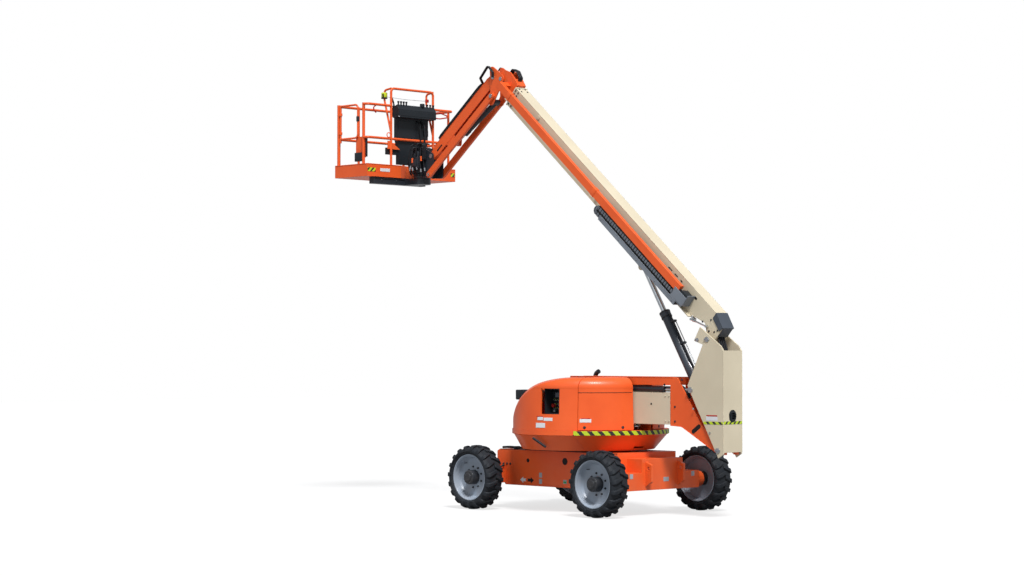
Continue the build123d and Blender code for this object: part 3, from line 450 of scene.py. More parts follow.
def tyreLug(shape, turn, side):
    # one bar from the middle of the tread over the shoulder, wider at the outside
    half, top, low = wheel["halfWidth"], wheel["treadRadius"], wheel["carcassRadius"] - 0.012
    stations = [  # across, crown radius, foot radius, half width, slide round the wheel
        (-0.012, top - 0.004, low + 0.006, 0.019, -0.026), (0.030, top, low, 0.023, -0.010),
        (0.075, top - 0.001, low, 0.026, 0.010), (0.113, top - 0.006, low - 0.004, 0.029, 0.024),
        (0.142, top - 0.024, low - 0.028, 0.031, 0.033),
        (half - 0.001, top - 0.062, low - 0.048, 0.030, 0.038),
        (half - 0.004, top - 0.092, low - 0.072, 0.022, 0.041)]
    rings = []
    for across, crown, foot, wide, slide in stations:
        ring = []
        for radius, offset in ((foot, -wide * 1.12), (crown, -wide), (crown, wide), (foot, wide * 1.12)):
            angle = turn + (offset + slide) / wheel["treadRadius"]
            inward = 0.018 if radius == foot and across > half - 0.01 else 0.0
            ring.append(shape.verts.new((radius * math.cos(angle), side * (across - inward),
                                         radius * math.sin(angle))))
        rings.append(ring)
    faces = wallBetween(shape, rings)
    crowns = {vert for ring in rings for vert in ring[1:3]}
    tops = [edge for edge in {e for ring in rings for v in ring for e in v.link_edges}
            if edge.verts[0] in crowns and edge.verts[1] in crowns]
    bmesh.ops.recalc_face_normals(shape, faces=faces)
    bmesh.ops.bevel(shape, geom=tops, offset=0.005, offset_type="OFFSET", segments=1, profile=0.5,
                    affect="EDGES", material=-1)


def tyrePiece(name, centre, body):
    with newPiece(name + "_tread", "tyre_rubber", body, 32, node=name) as shape:
        tyreCarcass(shape)
        for side in leftRight:
            for step in range(wheel["lugs"]):
                tyreLug(shape, fullTurn * (step + (0.5 if side < 0 else 0.0)) / wheel["lugs"], side)
        bmesh.ops.translate(shape, vec=Vector(centre), verts=shape.verts)


def rimPiece(node, centre, s, body):  # s is 1 or -1, the side its open face is on
    seat = wheel["beadRadius"] - wheel["seatGap"]
    inner = [(0.0, 0.128), (0.0, 0.118), (-0.0045, 0.100), (-0.014, 0.088), (-0.018, 0.070), (-0.018, -0.100),
             (-0.0015, -0.116), (0.0, -0.128), (-0.0085, -0.134), (-0.0205, -0.120), (-0.030, -0.098),
             (-0.036, -0.020), (-0.052, -0.014)]  # step in from the seat, along
    dish = [(0.225, -0.010), (0.118, 0.000), (0.104, 0.002), (0.104, 0.018), (0.150, 0.016), (0.222, 0.010)]
    outer = [(-0.062, 0.020), (-0.044, 0.040), (-0.036, 0.062), (-0.029, 0.088), (-0.022, 0.110),
             (-0.0125, 0.128)]
    rolledSteps, roll = ((0.036, 0.060), (0.022, 0.106)), 0.0045
    with newPiece(node + "_disc", "rim_grey", body, 30, node=node) as shape:
        profile = [(seat + fall, along) for fall, along in inner] + dish
        profile += [(seat + fall, along) for fall, along in outer]
        spinProfile(shape, [(radius, along * s) for radius, along in profile], centre, "Y", 72)
        for fall, out in rolledSteps:
            bead = [(wheel["beadRadius"] - fall + a, (out + b) * s) for a, b in aroundCircle(roll, 8)]
            spinProfile(shape, bead, centre, "Y", 72)
    hubProfile = [(0.0005, 0.162), (0.052, 0.162), (0.060, 0.157), (0.062, 0.146), (0.090, 0.142),
                  (0.100, 0.134), (0.103, 0.120), (0.103, -0.055), (0.050, -0.058), (0.0005, -0.058)]
    cx, cy, cz = centre
    with newPiece(node + "_hub", "dark_steel", body, 30) as hub:
        spinProfile(hub, [(radius, along * s) for radius, along in hubProfile], centre, "Y", 40, closed=False)
        for x, z in aroundCircle(wheel["holeCircle"], wheel["studs"]):
            addBolt(hub, (cx + x, cy + 0.014 * s, cz + z), (0, s, 0), wheel["studRadius"], 0.022, onFrame)
        for x, z in aroundCircle(0.080, 8, 0.5):
            addBolt(hub, (cx + x, cy + 0.140 * s, cz + z), (0, s, 0), 0.008, 0.010, onFrame)
        for a in (0.6, 2.7, 4.8):
            spot = (cx + 0.034 * math.cos(a), cy + 0.161 * s, cz + 0.034 * math.sin(a))
            addBolt(hub, spot, (0, s, 0), 0.007, 0.006, onFrame, False)
        valveX, valveZ = cx + 0.250 * math.cos(0.9), cz + 0.250 * math.sin(0.9)
        addBar(hub, (valveX, cy + 0.02 * s, valveZ), (valveX, cy + 0.075 * s, valveZ), 0.006, onFrame, 10)


for end in ("front", "rear"):
    for side, word in leftRight.items():
        corner = end + "_" + word
        centre = tuple((a + b) / 2 for a, b in zip(*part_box("tyre_" + corner)))
        tyrePiece("tyre_" + corner, centre, "wheel_" + corner)
        rimPiece("rim_" + corner, centre, side, "wheel_" + corner)
print("wheels built")

# chassis
chassisTrim = {
    "sideY": 0.600, "boltCircle": 0.505, "boltCount": 36, "boltZ": 0.845,
    "sideBolts": [(-1.00, 0.395, 0.013), (-0.86, 0.395, 0.013), (-0.72, 0.395, 0.013), (0.98, 0.640, 0.012),
                  (1.05, 0.640, 0.012), (1.12, 0.640, 0.012), (1.19, 0.640, 0.012)],  # x, z, radius
    "holes": [(-0.12, 0.71, 0.050), (-0.42, 0.70, 0.028), (0.62, 0.70, 0.028)],  # x, z, radius
    "seam": ((-1.128, 1.18), (0.846, 0.853)), "greenMark": ((-0.150, -0.090), (0.402, 0.430)),
    "sidePlates": [((0.335, 0.395), (0.465, 0.535)), ((0.335, 0.395), (0.375, 0.445)),
                   ((-0.155, -0.085), (0.395, 0.450))],  # x and z
    "rearFace": (-1.4225, -1.4195),
    "rearPlates": [((0.600, 0.665), (0.515, 0.582)), ((-0.665, -0.600), (0.515, 0.582)),
                   ((-0.13, -0.02), (0.46, 0.52))],  # y and z
    "arrowZ": 0.420,
}
beadRuns = [  # the folded lip and the weld beads of the left side, and their radius
    ([(-1.12, 0.602, 0.352), (1.07, 0.602, 0.352)], 0.006),
    ([(1.07, 0.602, 0.352), (1.238, 0.602, 0.560)], 0.006),
    ([(-1.132, 0.42, 0.592), (-1.132, 0.76, 0.592)], 0.007),
    ([(-1.132, 0.422, 0.595), (-1.132, 0.422, 0.775)], 0.007),
    ([(-1.110, 0.602, 0.365), (-1.330, 0.602, 0.365)], 0.006),
]


def onSide(side, points):
    return [(x, side * y, z) for x, y, z in points]


with newPiece("chassis_bolts", "dark_steel", "chassis", 25) as shape:
    for x, y in aroundCircle(chassisTrim["boltCircle"], chassisTrim["boltCount"]):
        addBolt(shape, (x, y, chassisTrim["boltZ"]), (0, 0, 1), 0.013, 0.026)
    for side in leftRight:
        for x, z, radius in chassisTrim["sideBolts"]:
            addBolt(shape, (x, side * chassisTrim["sideY"], z), (0, side, 0), radius, 0.012)
# black discs over the side holes, and a thin black strip along the top of the side
with newPiece("chassis_hole_discs_and_seam", "seam_black", "chassis") as shape:
    for side in leftRight:
        for x, z, radius in chassisTrim["holes"]:
            addDisc(shape, (x, side * 0.5985, z), (0, side, 0), radius, 0.003)
        seamX, seamZ = chassisTrim["seam"]
        addBox(shape, seamX, sideRange(side, 0.598, 0.602), seamZ)
with newPiece("chassis_weld_beads", "orange_paint", "chassis", 60) as shape:
    for side in leftRight:
        for run, radius in beadRuns:
            addTube(shape, onSide(side, run), radius)
        for z in (0.402, 0.736):
            addTube(shape, [(-1.422, side * 0.330 - 0.021, z), (-1.422, side * 0.330 + 0.021, z)], 0.005)
with newPiece("chassis_blank_plates", "silver_plate", "chassis") as shape:
    for side in leftRight:
        for x, z in chassisTrim["sidePlates"]:
            addPlate(shape, x, sideRange(side, 0.5995, 0.6022), z)
    for y, z in chassisTrim["rearPlates"]:
        addPlate(shape, chassisTrim["rearFace"], y, z)
with newPiece("chassis_green_marks", "green_plastic", "chassis") as shape:
    for side in leftRight:
        markX, markZ = chassisTrim["greenMark"]
        addPlate(shape, markX, sideRange(side, 0.5995, 0.6028), markZ)


def arrowPiece(name, look, tip, tail, side):
    z, y = chassisTrim["arrowZ"], chassisTrim["sideY"] - 0.0005
    way = 1 if tip > tail else -1
    neck, notch = tip - way * 0.060, tail + way * 0.018
    outline = [(tip, z), (neck, z + 0.044), (neck, z + 0.020), (tail, z + 0.020), (notch, z),
               (tail, z - 0.020), (neck, z - 0.020), (neck, z - 0.044)]
    with newPiece(name, look, "chassis", slot="grey_steel", smooth=False) as shape:
        face = shape.faces.new([shape.verts.new(at(x, side * y, h)) for x, h in outline])
        grown = bmesh.ops.extrude_face_region(shape, geom=[face])["geom"]
        top = [vert for vert in grown if isinstance(vert, bmesh.types.BMVert)]
        bmesh.ops.translate(shape, vec=(0, side * 0.0028, 0), verts=top)


for side, word in leftRight.items():
    arrowPiece("arrow_front_" + word, "white_plate", 0.775, 0.655, side)
    arrowPiece("arrow_rear_" + word, "seam_black", 0.500, 0.635, side)

steerHose = {
    "radius": 0.017, "apart": 0.036,
    "run": [(1.17, 0.560, 0.872), (1.05, 0.585, 0.880), (0.80, 0.590, 0.874), (0.72, 0.50, 0.868)],
    "tail": [(1.10, 0.604, 0.62), (1.13, 0.64, 0.60), (1.15, 0.70, 0.57)], "tailRadius": 0.013,
    "clampX": (0.86, 0.90), "clampY": (0.522, 0.612), "clampZ": (0.852, 0.896),
}
with newPiece("chassis_hoses", "hose_rubber", "chassis", 60) as shape:
    for inward in (0.0, steerHose["apart"]):
        for side in leftRight:
            run = [(x, y - inward, z) for x, y, z in steerHose["run"]]
            addTube(shape, onSide(side, run), steerHose["radius"], bend=0.08)
    for side in leftRight:
        addTube(shape, onSide(side, steerHose["tail"]), steerHose["tailRadius"], bend=0.05)
with newPiece("chassis_hose_clamps", "dark_steel", "chassis", 30) as shape:
    for side in leftRight:
        clampY = sideRange(side, *steerHose["clampY"])
        addBox(shape, steerHose["clampX"], clampY, steerHose["clampZ"], bevel=0.004)
print("chassis trimmed")

# turntable
bands = {  # look, body, radii, heights, angles from the front, steps, sharp above
    "belt_hazard_stripe":
        ("hazard_ring", "turntable", (1.1493, 1.1523), (1.098, 1.157), (123.5, 236.5), 56, 40),
    "hood_lid_seam_left":
        ("seam_black", "hood_left", (1.0684, 1.0740), (1.684, 1.690), (126.2, 168.0), 40, 60),
    "hood_lid_seam_right":
        ("seam_black", "hood_right", (1.0684, 1.0740), (1.684, 1.690), (192.0, 233.8), 40, 60),
    "cowl_belt_line":
        ("orange_paint", "turntable", (1.077, 1.089), (1.0935, 1.0985), (-122, 122), 72, 60),
}
for name, (look, body, (inside, outside), (low, high), angles, steps, sharpAbove) in bands.items():
    with newPiece(name, look, body, sharpAbove) as shape:
        profile = [(inside, low), (outside, low), (outside, high), (inside, high)]
        first, last = (math.radians(angle) for angle in angles)
        spinProfile(shape, profile, (swingX, 0, 0), "Z", steps, last - first, first)


def cowlWall(z):  # radius of the cowl and hoods at a height
    return 1.0852 - 0.015 * (z - 1.16) / 0.575


def wallPlate(name, look, body, angles, heights):
    # a thin plate that lies on the round wall between two angles and two heights
    thick, steps = 0.0025, 10
    with newPiece(name, look, body, 30, "grey_steel") as shape:
        grid = []
        for step in range(steps + 1):
            a = math.radians(angles[0] + (angles[1] - angles[0]) * step / steps)
            grid.append([shape.verts.new(at(cowlWall(z) * math.cos(a), cowlWall(z) * math.sin(a), z))
                         for z in heights])
        faces = [shape.faces.new((l[0], h[0], h[1], l[1])) for l, h in zip(grid, grid[1:])]
        bmesh.ops.recalc_face_normals(shape, faces=faces)
        centres = [(face, face.calc_center_median()) for face in faces]
        if sum(face.normal.dot(centre - at(0, 0, centre.z)) for face, centre in centres) < 0:
            bmesh.ops.reverse_faces(shape, faces=faces)
        grown = bmesh.ops.extrude_face_region(shape, geom=faces)["geom"]
        for vert in grown:
            if isinstance(vert, bmesh.types.BMVert):
                vert.co += (vert.co - at(0, 0, vert.co.z)).normalized() * thick


wallPlates = [  # name, look, angles from the front, heights
    ("cowl_plate_upper_", "white_plate", (93.0, 98.2), (1.300, 1.345)),
    ("cowl_plate_upper2_", "white_plate", (98.8, 106.5), (1.292, 1.337)),
    ("cowl_plate_red_", "red_plastic", (92.0, 98.2), (1.350, 1.358)),
    ("cowl_plate_lower_", "white_plate", (91.5, 100.2), (1.196, 1.262)),
    ("hood_plate_", "white_plate", (127.5, 136.0), (1.275, 1.322)),
    ("hood_plate_head_", "red_plastic", (128.5, 135.2), (1.326, 1.334)),
]
for side, word in leftRight.items():
    for name, look, angles, heights in wallPlates:
        body = "hood_" + word if name.startswith("hood") else "turntable"
        wallPlate(name + word, look, body, [side * angle for angle in angles], heights)
print("turntable marked")

panel = {
    "plate": ((-0.388, -0.122), (0.818, 0.832), (1.397, 1.720)),
    "hood": ((-0.380, -0.130), (0.826, 0.862), (1.600, 1.700)),
    "display": ((-0.330, -0.190), (0.860, 0.8645), (1.618, 1.684)),
    "face": 0.832, "rows": (1.575, 1.515, 1.455), "columns": (-0.360, -0.292, -0.224, -0.156),
    "knobX": -0.150, "knobZ": 1.425, "stopX": -0.145, "stopZ": 1.500,
}
switchSpots = [(x, z) for z in panel["rows"] for x in panel["columns"]]
with newPiece("ground_panel_face", "black_plastic", "turntable", 30) as shape:
    addBox(shape, *panel["plate"], bevel=0.004)
    addBox(shape, *panel["hood"], bevel=0.010)
with newPiece("ground_panel_display", "grey_plastic", "turntable", 30) as shape:
    addPlate(shape, *panel["display"], bevel=0.002)
with newPiece("ground_panel_switches", "bright_steel", "turntable", 30) as shape:
    y = panel["face"]
    for x, z in switchSpots:
        addDisc(shape, (x, y, z), (0, 1, 0), 0.012, 0.006, sides=20)
        addBar(shape, (x, y + 0.002, z), (x + 0.002, y + 0.030, z + 0.008), 0.0045, sides=12)
    addDisc(shape, (panel["knobX"], y + 0.002, panel["knobZ"]), (0, 1, 0), 0.020, 0.012, sides=28)
    addBox(shape, (-0.155, -0.145), (0.840, 0.866), (1.405, 1.445), bevel=0.003)
with newPiece("ground_panel_stop_button", "red_plastic", "turntable", 30, "black_plastic") as shape:
    addDisc(shape, (panel["stopX"], y + 0.003, panel["stopZ"]), (0, 1, 0), 0.026, 0.034, sides=28)
    addDisc(shape, (panel["stopX"], y + 0.001, panel["stopZ"]), (0, 1, 0), 0.018, 0.020, sides=28)
with newPiece("ground_panel_lines", "lime_plastic", "turntable", 60) as shape:
    for x, z in switchSpots:
        left, right, low, high = x - 0.021, x + 0.019, z - 0.010, z + 0.016
        run = [(left, y + 0.001, low), (left, y + 0.001, high), (right, y + 0.001, high)]
        addTube(shape, run, 0.0016, bend=0.01)

with newPiece("front_light_boxes", "black_plastic", "turntable", 30) as shape:
    for side in leftRight:
        addBox(shape, (0.975, 1.165), sideRange(side, 0.13, 0.32), (1.555, 1.700), bevel=0.014)
        addBox(shape, (0.90, 1.00), sideRange(side, 0.18, 0.27), (1.590, 1.660), bevel=0.004)
with newPiece("front_light_lenses", "lamp_glass", "turntable", 30) as shape:
    for side in leftRight:
        addPlate(shape, (1.163, 1.169), sideRange(side, 0.147, 0.303), (1.572, 1.683), bevel=0.002)
exhaust = {
    "run": [(0.34, -0.50, 1.835), (0.34, -0.50, 1.900), (0.31, -0.495, 1.945), (0.255, -0.485, 1.968)],
    "radius": 0.033, "collarTop": (0.34, -0.50, 1.872), "collarRadius": 0.055,
}
with newPiece("exhaust_outlet", "dark_steel", "turntable", 50) as shape:
    addTube(shape, exhaust["run"], exhaust["radius"], sides=20, bend=0.05)
    addBar(shape, exhaust["run"][0], exhaust["collarTop"], exhaust["collarRadius"], sides=28)
with newPiece("tub_rubber_straps", "hose_rubber", "turntable", 60, "black_plastic") as shape:
    for side in leftRight:
        strap = [(0.018, 1.097, 1.050), (-0.070, 1.060, 0.990), (-0.150, 1.010, 0.925)]
        addTube(shape, onSide(side, strap), 0.017, bend=0.05)
latch = {"angles": (131.0, 160.0), "wall": 1.083, "height": 1.205}
for side, word in leftRight.items():
    with newPiece("hood_latches_" + word, "dark_steel", "hood_" + word, 30) as shape:
        for angle in latch["angles"]:
            a = math.radians(angle * side)
            out = Vector((math.cos(a), math.sin(a), 0))
            spot = out * latch["wall"] + Vector((0, 0, latch["height"]))
            addDisc(shape, spot, out, 0.020, 0.006, sides=24)
            addBolt(shape, spot + out * 0.005, out, 0.008, 0.006, washer=False)
print("turntable trimmed")

# upright
uprightTrim = {
    "side": 0.195, "skin": (0.1945, 0.1972), "sideX": (-2.690, -2.342), "sideZ": (1.276, 1.312),
    "rearX": (-2.6932, -2.6905), "rearY": (-0.1955, 0.1955), "rearZ": (1.279, 1.319),
    "pins": [(-2.101, 1.734, 0.040), (-2.403, 2.420, 0.036), (-2.231, 2.415, 0.026), (-2.590, 0.925, 0.038),
             (-2.160, 1.480, 0.014), (-2.455, 1.160, 0.014)],  # x, z, radius
    "plateSkin": (0.1945, 0.1965), "plate": ((-2.590, -2.387), (1.325, 1.381)),
    "header": ((-2.585, -2.392), (1.384, 1.401)), "grommetZ": (1.380, 1.400),
    "ribs": (1.345, 1.375, 1.405, 1.435),
}
with newPiece("upright_side_stripe", "hazard_x", "upright") as shape:
    for side in leftRight:
        addBox(shape, uprightTrim["sideX"], sideRange(side, *uprightTrim["skin"]), uprightTrim["sideZ"])
with newPiece("upright_rear_stripe", "hazard_y", "upright") as shape:
    addBox(shape, uprightTrim["rearX"], uprightTrim["rearY"], uprightTrim["rearZ"])
with newPiece("upright_pin_heads", "bright_steel", "upright", 30) as shape:
    for side in leftRight:
        for x, z, radius in uprightTrim["pins"]:
            addDisc(shape, (x, side * uprightTrim["side"], z), (0, side, 0), radius, 0.008, sides=28)
            if radius > 0.02:  # a keeper plate with two bolts
                keeper, reach = sideRange(side, 0.1985, 0.2065), radius * 1.3
                addBox(shape, (x - reach, x + reach), keeper, (z - 0.011, z + 0.011), bevel=0.002)
                for way in (-1, 1):
                    spot = (x + way * radius * 1.05, side * 0.2065, z)
                    addBolt(shape, spot, (0, side, 0), 0.007, 0.006, washer=False)
for name, look, (x, z) in (("upright_blank_plates", "white_plate", uprightTrim["plate"]),
                           ("upright_plate_headers", "red_plastic", uprightTrim["header"])):
    with newPiece(name, look, "upright") as shape:
        for side in leftRight:
            addPlate(shape, x, sideRange(side, *uprightTrim["plateSkin"]), z, bevel=0.0008)
with newPiece("upright_grommet", "black_plastic", "upright", 40) as shape:
    for radius, out in ((0.072, 0.006), (0.058, 0.010)):
        for z in uprightTrim["grommetZ"]:
            addBar(shape, (-2.690, 0.004, z), (-2.691 - out, 0.004, z), radius, sides=40)
    for z in uprightTrim["ribs"]:
        addPlate(shape, (-2.7035, -2.700), (-0.046, 0.038), (z - 0.004, z + 0.004))
with newPiece("upright_foot_blocks", "orange_paint", "upright") as shape:
    for side in (-1, 1):
        addBox(shape, (-2.674, -2.618), sideRange(side, 0.095, 0.150), (0.868, 0.918), bevel=0.004)
with newPiece("upright_corner_welds", "tan_paint", "upright", 60) as shape:
    for side in leftRight:
        addTube(shape, onSide(side, [(-2.6905, 0.1942, 0.905), (-2.6905, 0.1942, 2.268)]), 0.004, sides=10)
print("upright trimmed")

# tower
towerTrim = {
    "side": 0.165, "hole": (-1.363, 1.533, 0.014), "slot": (-2.184, 1.207, 0.062, 0.030),
    "slotAngle": -35.0, "dot": (-1.610, 1.800, 0.016),
    "pad": [(x, z) for z in (1.300, 1.645) for x in (-1.690, -1.625)],
    "bolts": ((-1.93, 1.87), (-1.80, 1.30), (-1.80, 1.50)), "hoseY": (0.105, 0.135),
}
# black discs where the box sides have holes: painted shade for the hollow inside each hole
with newPiece("tower_box_hole_shade", "seam_black", "tower_boom") as shape:
    x, z, radius = towerTrim["hole"]
    for side in leftRight:
        addDisc(shape, (x, side * towerTrim["side"], z), (0, side, 0), radius, 0.002)
with newPiece("tower_pad_bolts", "tan_paint", "tower_boom", 30) as shape:
    for side in leftRight:
        for x, z in towerTrim["pad"]:
            addBolt(shape, (x, side * towerTrim["side"], z), (0, side, 0), 0.009, 0.007)
# a black slot and a black dot on each arm side where it has openings: painted shade for the inside of the
# openings
with newPiece("fly_arm_hole_shade", "seam_black", "tower_fly", 30) as shape:
    for side in leftRight:
        x, z, reach, radius = towerTrim["slot"]
        leaned = turnedUp(x, z, towerTrim["slotAngle"], side * towerTrim["side"])
        addBox(shape, (-reach, reach), (-0.0015, 0.0015), (-radius, radius), leaned)
        for way in (-1, 1):
            addBar(shape, (way * reach, -0.0016, 0), (way * reach, 0.0016, 0), radius, leaned, 24)
        x, z, radius = towerTrim["dot"]
        addDisc(shape, (x, side * towerTrim["side"], z), (0, side, 0), radius, 0.002)
with newPiece("fly_arm_bolts", "dark_steel", "tower_fly", 30) as shape:
    for side in leftRight:
        addDisc(shape, (-2.590, side * towerTrim["side"], 0.925), (0, side, 0), 0.030, 0.008)
        for x, z in towerTrim["bolts"]:
            addBolt(shape, (x, side * towerTrim["side"], z), (0, side, 0), 0.011, 0.009)
armEdges = [
    [(-1.762, 0.1660, 1.903), (0.195, 0.1660, 1.903)],
    [(-1.715, 0.1660, 1.244), (-1.920, 0.1660, 1.232), (-2.550, 0.1660, 0.890)],
]
with newPiece("fly_arm_edges", "orange_paint", "tower_fly", 60) as shape:
    for side in leftRight:
        for run in armEdges:
            addTube(shape, onSide(side, run), 0.004, sides=8)
with newPiece("tower_rear_hoses", "hose_rubber", "tower_fly", 60) as shape:
    for y in towerTrim["hoseY"]:
        run = [(-1.79, y, 1.80), (-1.90, y, 1.78), (-1.985, y, 1.71), (-2.03, y, 1.62)]
        addTube(shape, run, 0.013, bend=0.06)
with newPiece("tower_rear_line", "white_plate", "tower_fly", 60) as shape:
    run = [(-1.80, 0.075, 1.765), (-1.905, 0.075, 1.735), (-1.965, 0.075, 1.680), (-2.000, 0.075, 1.610)]
    addTube(shape, run, 0.010, bend=0.05)
print("tower trimmed")

# lift cylinder
with newPiece("lift_barrel_tube", "hose_rubber", "lift_barrel", 60) as shape:
    run = [(0.150, 0.030, 0.060), (0.175, 0.030, 0.092), (1.130, 0.030, 0.092), (1.160, 0.020, 0.066)]
    addTube(shape, run, 0.014, onLift, bend=0.03)
with newPiece("lift_barrel_line", "bright_steel", "lift_barrel", 60) as shape:
    run = [(0.120, -0.020, 0.062), (0.160, -0.020, 0.100), (1.050, -0.020, 0.100), (1.085, -0.018, 0.066)]
    addTube(shape, run, 0.007, onLift, bend=0.03)
with newPiece("lift_barrel_fittings", "dark_steel", "lift_barrel", 30) as shape:
    for s in (0.30, 0.70, 1.05):
        addBox(shape, (s - 0.012, s + 0.012), (-0.035, 0.048), (0.058, 0.112), onLift, bevel=0.003)
    addBar(shape, (1.155, 0, 0), (1.170, 0, 0), 0.0785, onLift, 40)
    addBar(shape, (1.225, 0, 0), (1.248, 0, 0), 0.0790, onLift, 40)
    for y, z in aroundCircle(0.060, 6):
        addBolt(shape, (1.248, y, z), (1, 0, 0), 0.007, 0.007, onLift, False)
    addBox(shape, (0.10, 0.18), (-0.045, 0.055), (0.050, 0.085), onLift, bevel=0.006)
with newPiece("upright_hard_line", "bright_steel", "upright", 60) as shape:
    run = [(-2.016, 0.130, 2.113), (-2.080, 0.130, 2.040), (-2.100, 0.130, 1.940), (-2.095, 0.140, 1.800)]
    addTube(shape, run, 0.008, bend=0.04)
print("lift cylinder trimmed")

# main boom
boomTrim = {
    "side": 0.110, "top": 0.332, "skin": (0.1092, 0.1115), "slotAcross": (0.248, 0.264),
    "slots": [(0.900, 0.945), (1.010, 1.085), (1.145, 1.235)],
    "tailSlot": ((0.545, 0.610), (0.228, 0.262)), "weldRun": (0.72, 5.288), "weldAcross": (0.0345, 0.3295),
    "bracket": [((0.852, 0.862), (0.110, 0.262), (0.100, 0.160)),
                ((0.600, 0.862), (0.254, 0.262), (0.060, 0.214)),
                ((0.590, 0.600), (0.110, 0.262), (0.085, 0.262)),
                ((0.600, 0.760), (0.110, 0.262), (0.072, 0.080))],
    "padRows": (5.195, 5.255), "padAcross": (0.065, 0.120, 0.245, 0.300),
    "tailBolts": [(0.02, 0.115), (0.10, 0.060), (0.17, 0.20), (-0.01, 0.165), (0.27, 0.085)],
    "clamps": (0.135, 0.165, 0.195, 0.222), "mouth": (5.270, 5.292),
    "collar": [((0.110, 0.118), (0.032, 0.332)), ((-0.118, -0.110), (0.032, 0.332)),
               ((-0.118, 0.118), (0.332, 0.340)), ((-0.118, 0.118), (0.024, 0.032))],  # across and up
}
# thin black plates on the boom sides where it has slots: painted shade for the inside of the boom
with newPiece("boom_side_slot_shade", "seam_black", "main_boom") as shape:
    for side in leftRight:
        skin = sideRange(side, *boomTrim["skin"])
        for s in boomTrim["slots"]:
            addPlate(shape, s, skin, boomTrim["slotAcross"], onBoom)
        s, t = boomTrim["tailSlot"]
        addPlate(shape, s, skin, t, onBoom)
with newPiece("boom_corner_welds", "tan_paint", "main_boom", 60) as shape:
    for side in leftRight:
        for t in boomTrim["weldAcross"]:
            run = [(s, side * boomTrim["skin"][0], t) for s in boomTrim["weldRun"]]
            addTube(shape, run, 0.0035, onBoom, sides=8)
with newPiece("boom_cable_bracket", "grey_steel", "main_boom", 30) as shape:
    for sheet in boomTrim["bracket"]:
        addPlate(shape, *sheet, onBoom, 0.002)
with newPiece("boom_cable_clamps", "black_plastic", "main_boom", 30) as shape:
    addBox(shape, (0.604, 0.740), (0.128, 0.248), (0.102, 0.245), onBoom, bevel=0.006)
    for t in boomTrim["clamps"]:
        addBar(shape, (0.735, 0.220, t), (0.785, 0.220, t), 0.011, onBoom, 16)
with newPiece("boom_clamp_bar", "bright_steel", "main_boom") as shape:
    addBox(shape, (0.606, 0.738), (0.2475, 0.2500), (0.178, 0.190), onBoom)
with newPiece("boom_pad_bolts", "dark_steel", "main_boom", 30) as shape:
    for side in leftRight:
        for s in boomTrim["padRows"]:
            for t in boomTrim["padAcross"]:
                addBolt(shape, (s, side * boomTrim["side"], t), (0, side, 0), 0.009, 0.008, onBoom)
        for s, t in boomTrim["tailBolts"]:
            addBolt(shape, (s, side * boomTrim["side"], t), (0, side, 0), 0.010, 0.008, onBoom)
    for s in boomTrim["padRows"]:
        for y in (-0.06, 0.06):
            addBolt(shape, (s, y, boomTrim["top"]), (0, 0, 1), 0.009, 0.008, onBoom)
with newPiece("boom_side_boss", "tan_paint", "main_boom", 30) as shape:
    addDisc(shape, (4.617, 0.110, 0.285), (0, 1, 0), 0.030, 0.010, onBoom)
    addBox(shape, (0.955, 1.010), (0.112, 0.185), (0.148, 0.170), onBoom, bevel=0.004)
with newPiece("boom_mouth_collar", "tan_paint", "main_boom", 30) as shape:
    for y, t in boomTrim["collar"]:
        addBox(shape, boomTrim["mouth"], y, t, onBoom, bevel=0.003)

track = {
    "pitch": 0.052, "start": 0.815, "end": 2.690, "out": (0.187, 0.2525), "plateOut": (0.2465, 0.2515),
    "runs": ((0.0075, 0.0635), (0.0870, 0.1430)),
    "bendAt": (2.700, 0, 0.07525), "bendRadii": (0.0125, 0.0680),
    "collars": (2.93, 5.21), "lipBolts": (0.78, 1.20, 1.65, 2.10, 2.55),
}
with newPiece("cable_track_links", "grey_plastic", "cable_track", 30) as shape:
    s, pitch = track["start"], track["pitch"]
    while s < track["end"]:
        for low, high in track["runs"]:
            plate, web = (s, s + pitch * 0.72), (s + pitch * 0.30, s + pitch * 0.42)
            addPlate(shape, plate, track["plateOut"], (low + 0.006, high - 0.006), onBoom, 0.0015)
            addBox(shape, web, track["out"], (low, high), onBoom)
        s += pitch
    for angle in range(-80, 81, 20):
        place = onBoom @ Matrix.Translation(track["bendAt"]) @ Matrix.Rotation(-math.radians(angle), 4, "Y")
        addBox(shape, track["bendRadii"], track["out"], (-0.004, 0.004), place)
with newPiece("cable_trough_lip", "grey_steel", "main_boom", 30) as shape:
    addPlate(shape, (0.727, 2.600), (0.252, 0.264), (0.058, 0.063), onBoom)
    for s in track["lipBolts"]:
        addBolt(shape, (s, 0.262, 0.028), (0, 1, 0), 0.007, 0.005, onBoom)
with newPiece("push_tube_collars", "orange_paint", "main_fly", 30) as shape:
    addPlate(shape, (0.786, 0.800), (0.186, 0.254), (0.161, 0.279), onBoom, 0.002)
    for s in track["collars"]:
        addBox(shape, (s - 0.035, s + 0.035), (0.184, 0.256), (0.159, 0.281), onBoom, bevel=0.002)
print("main boom trimmed")

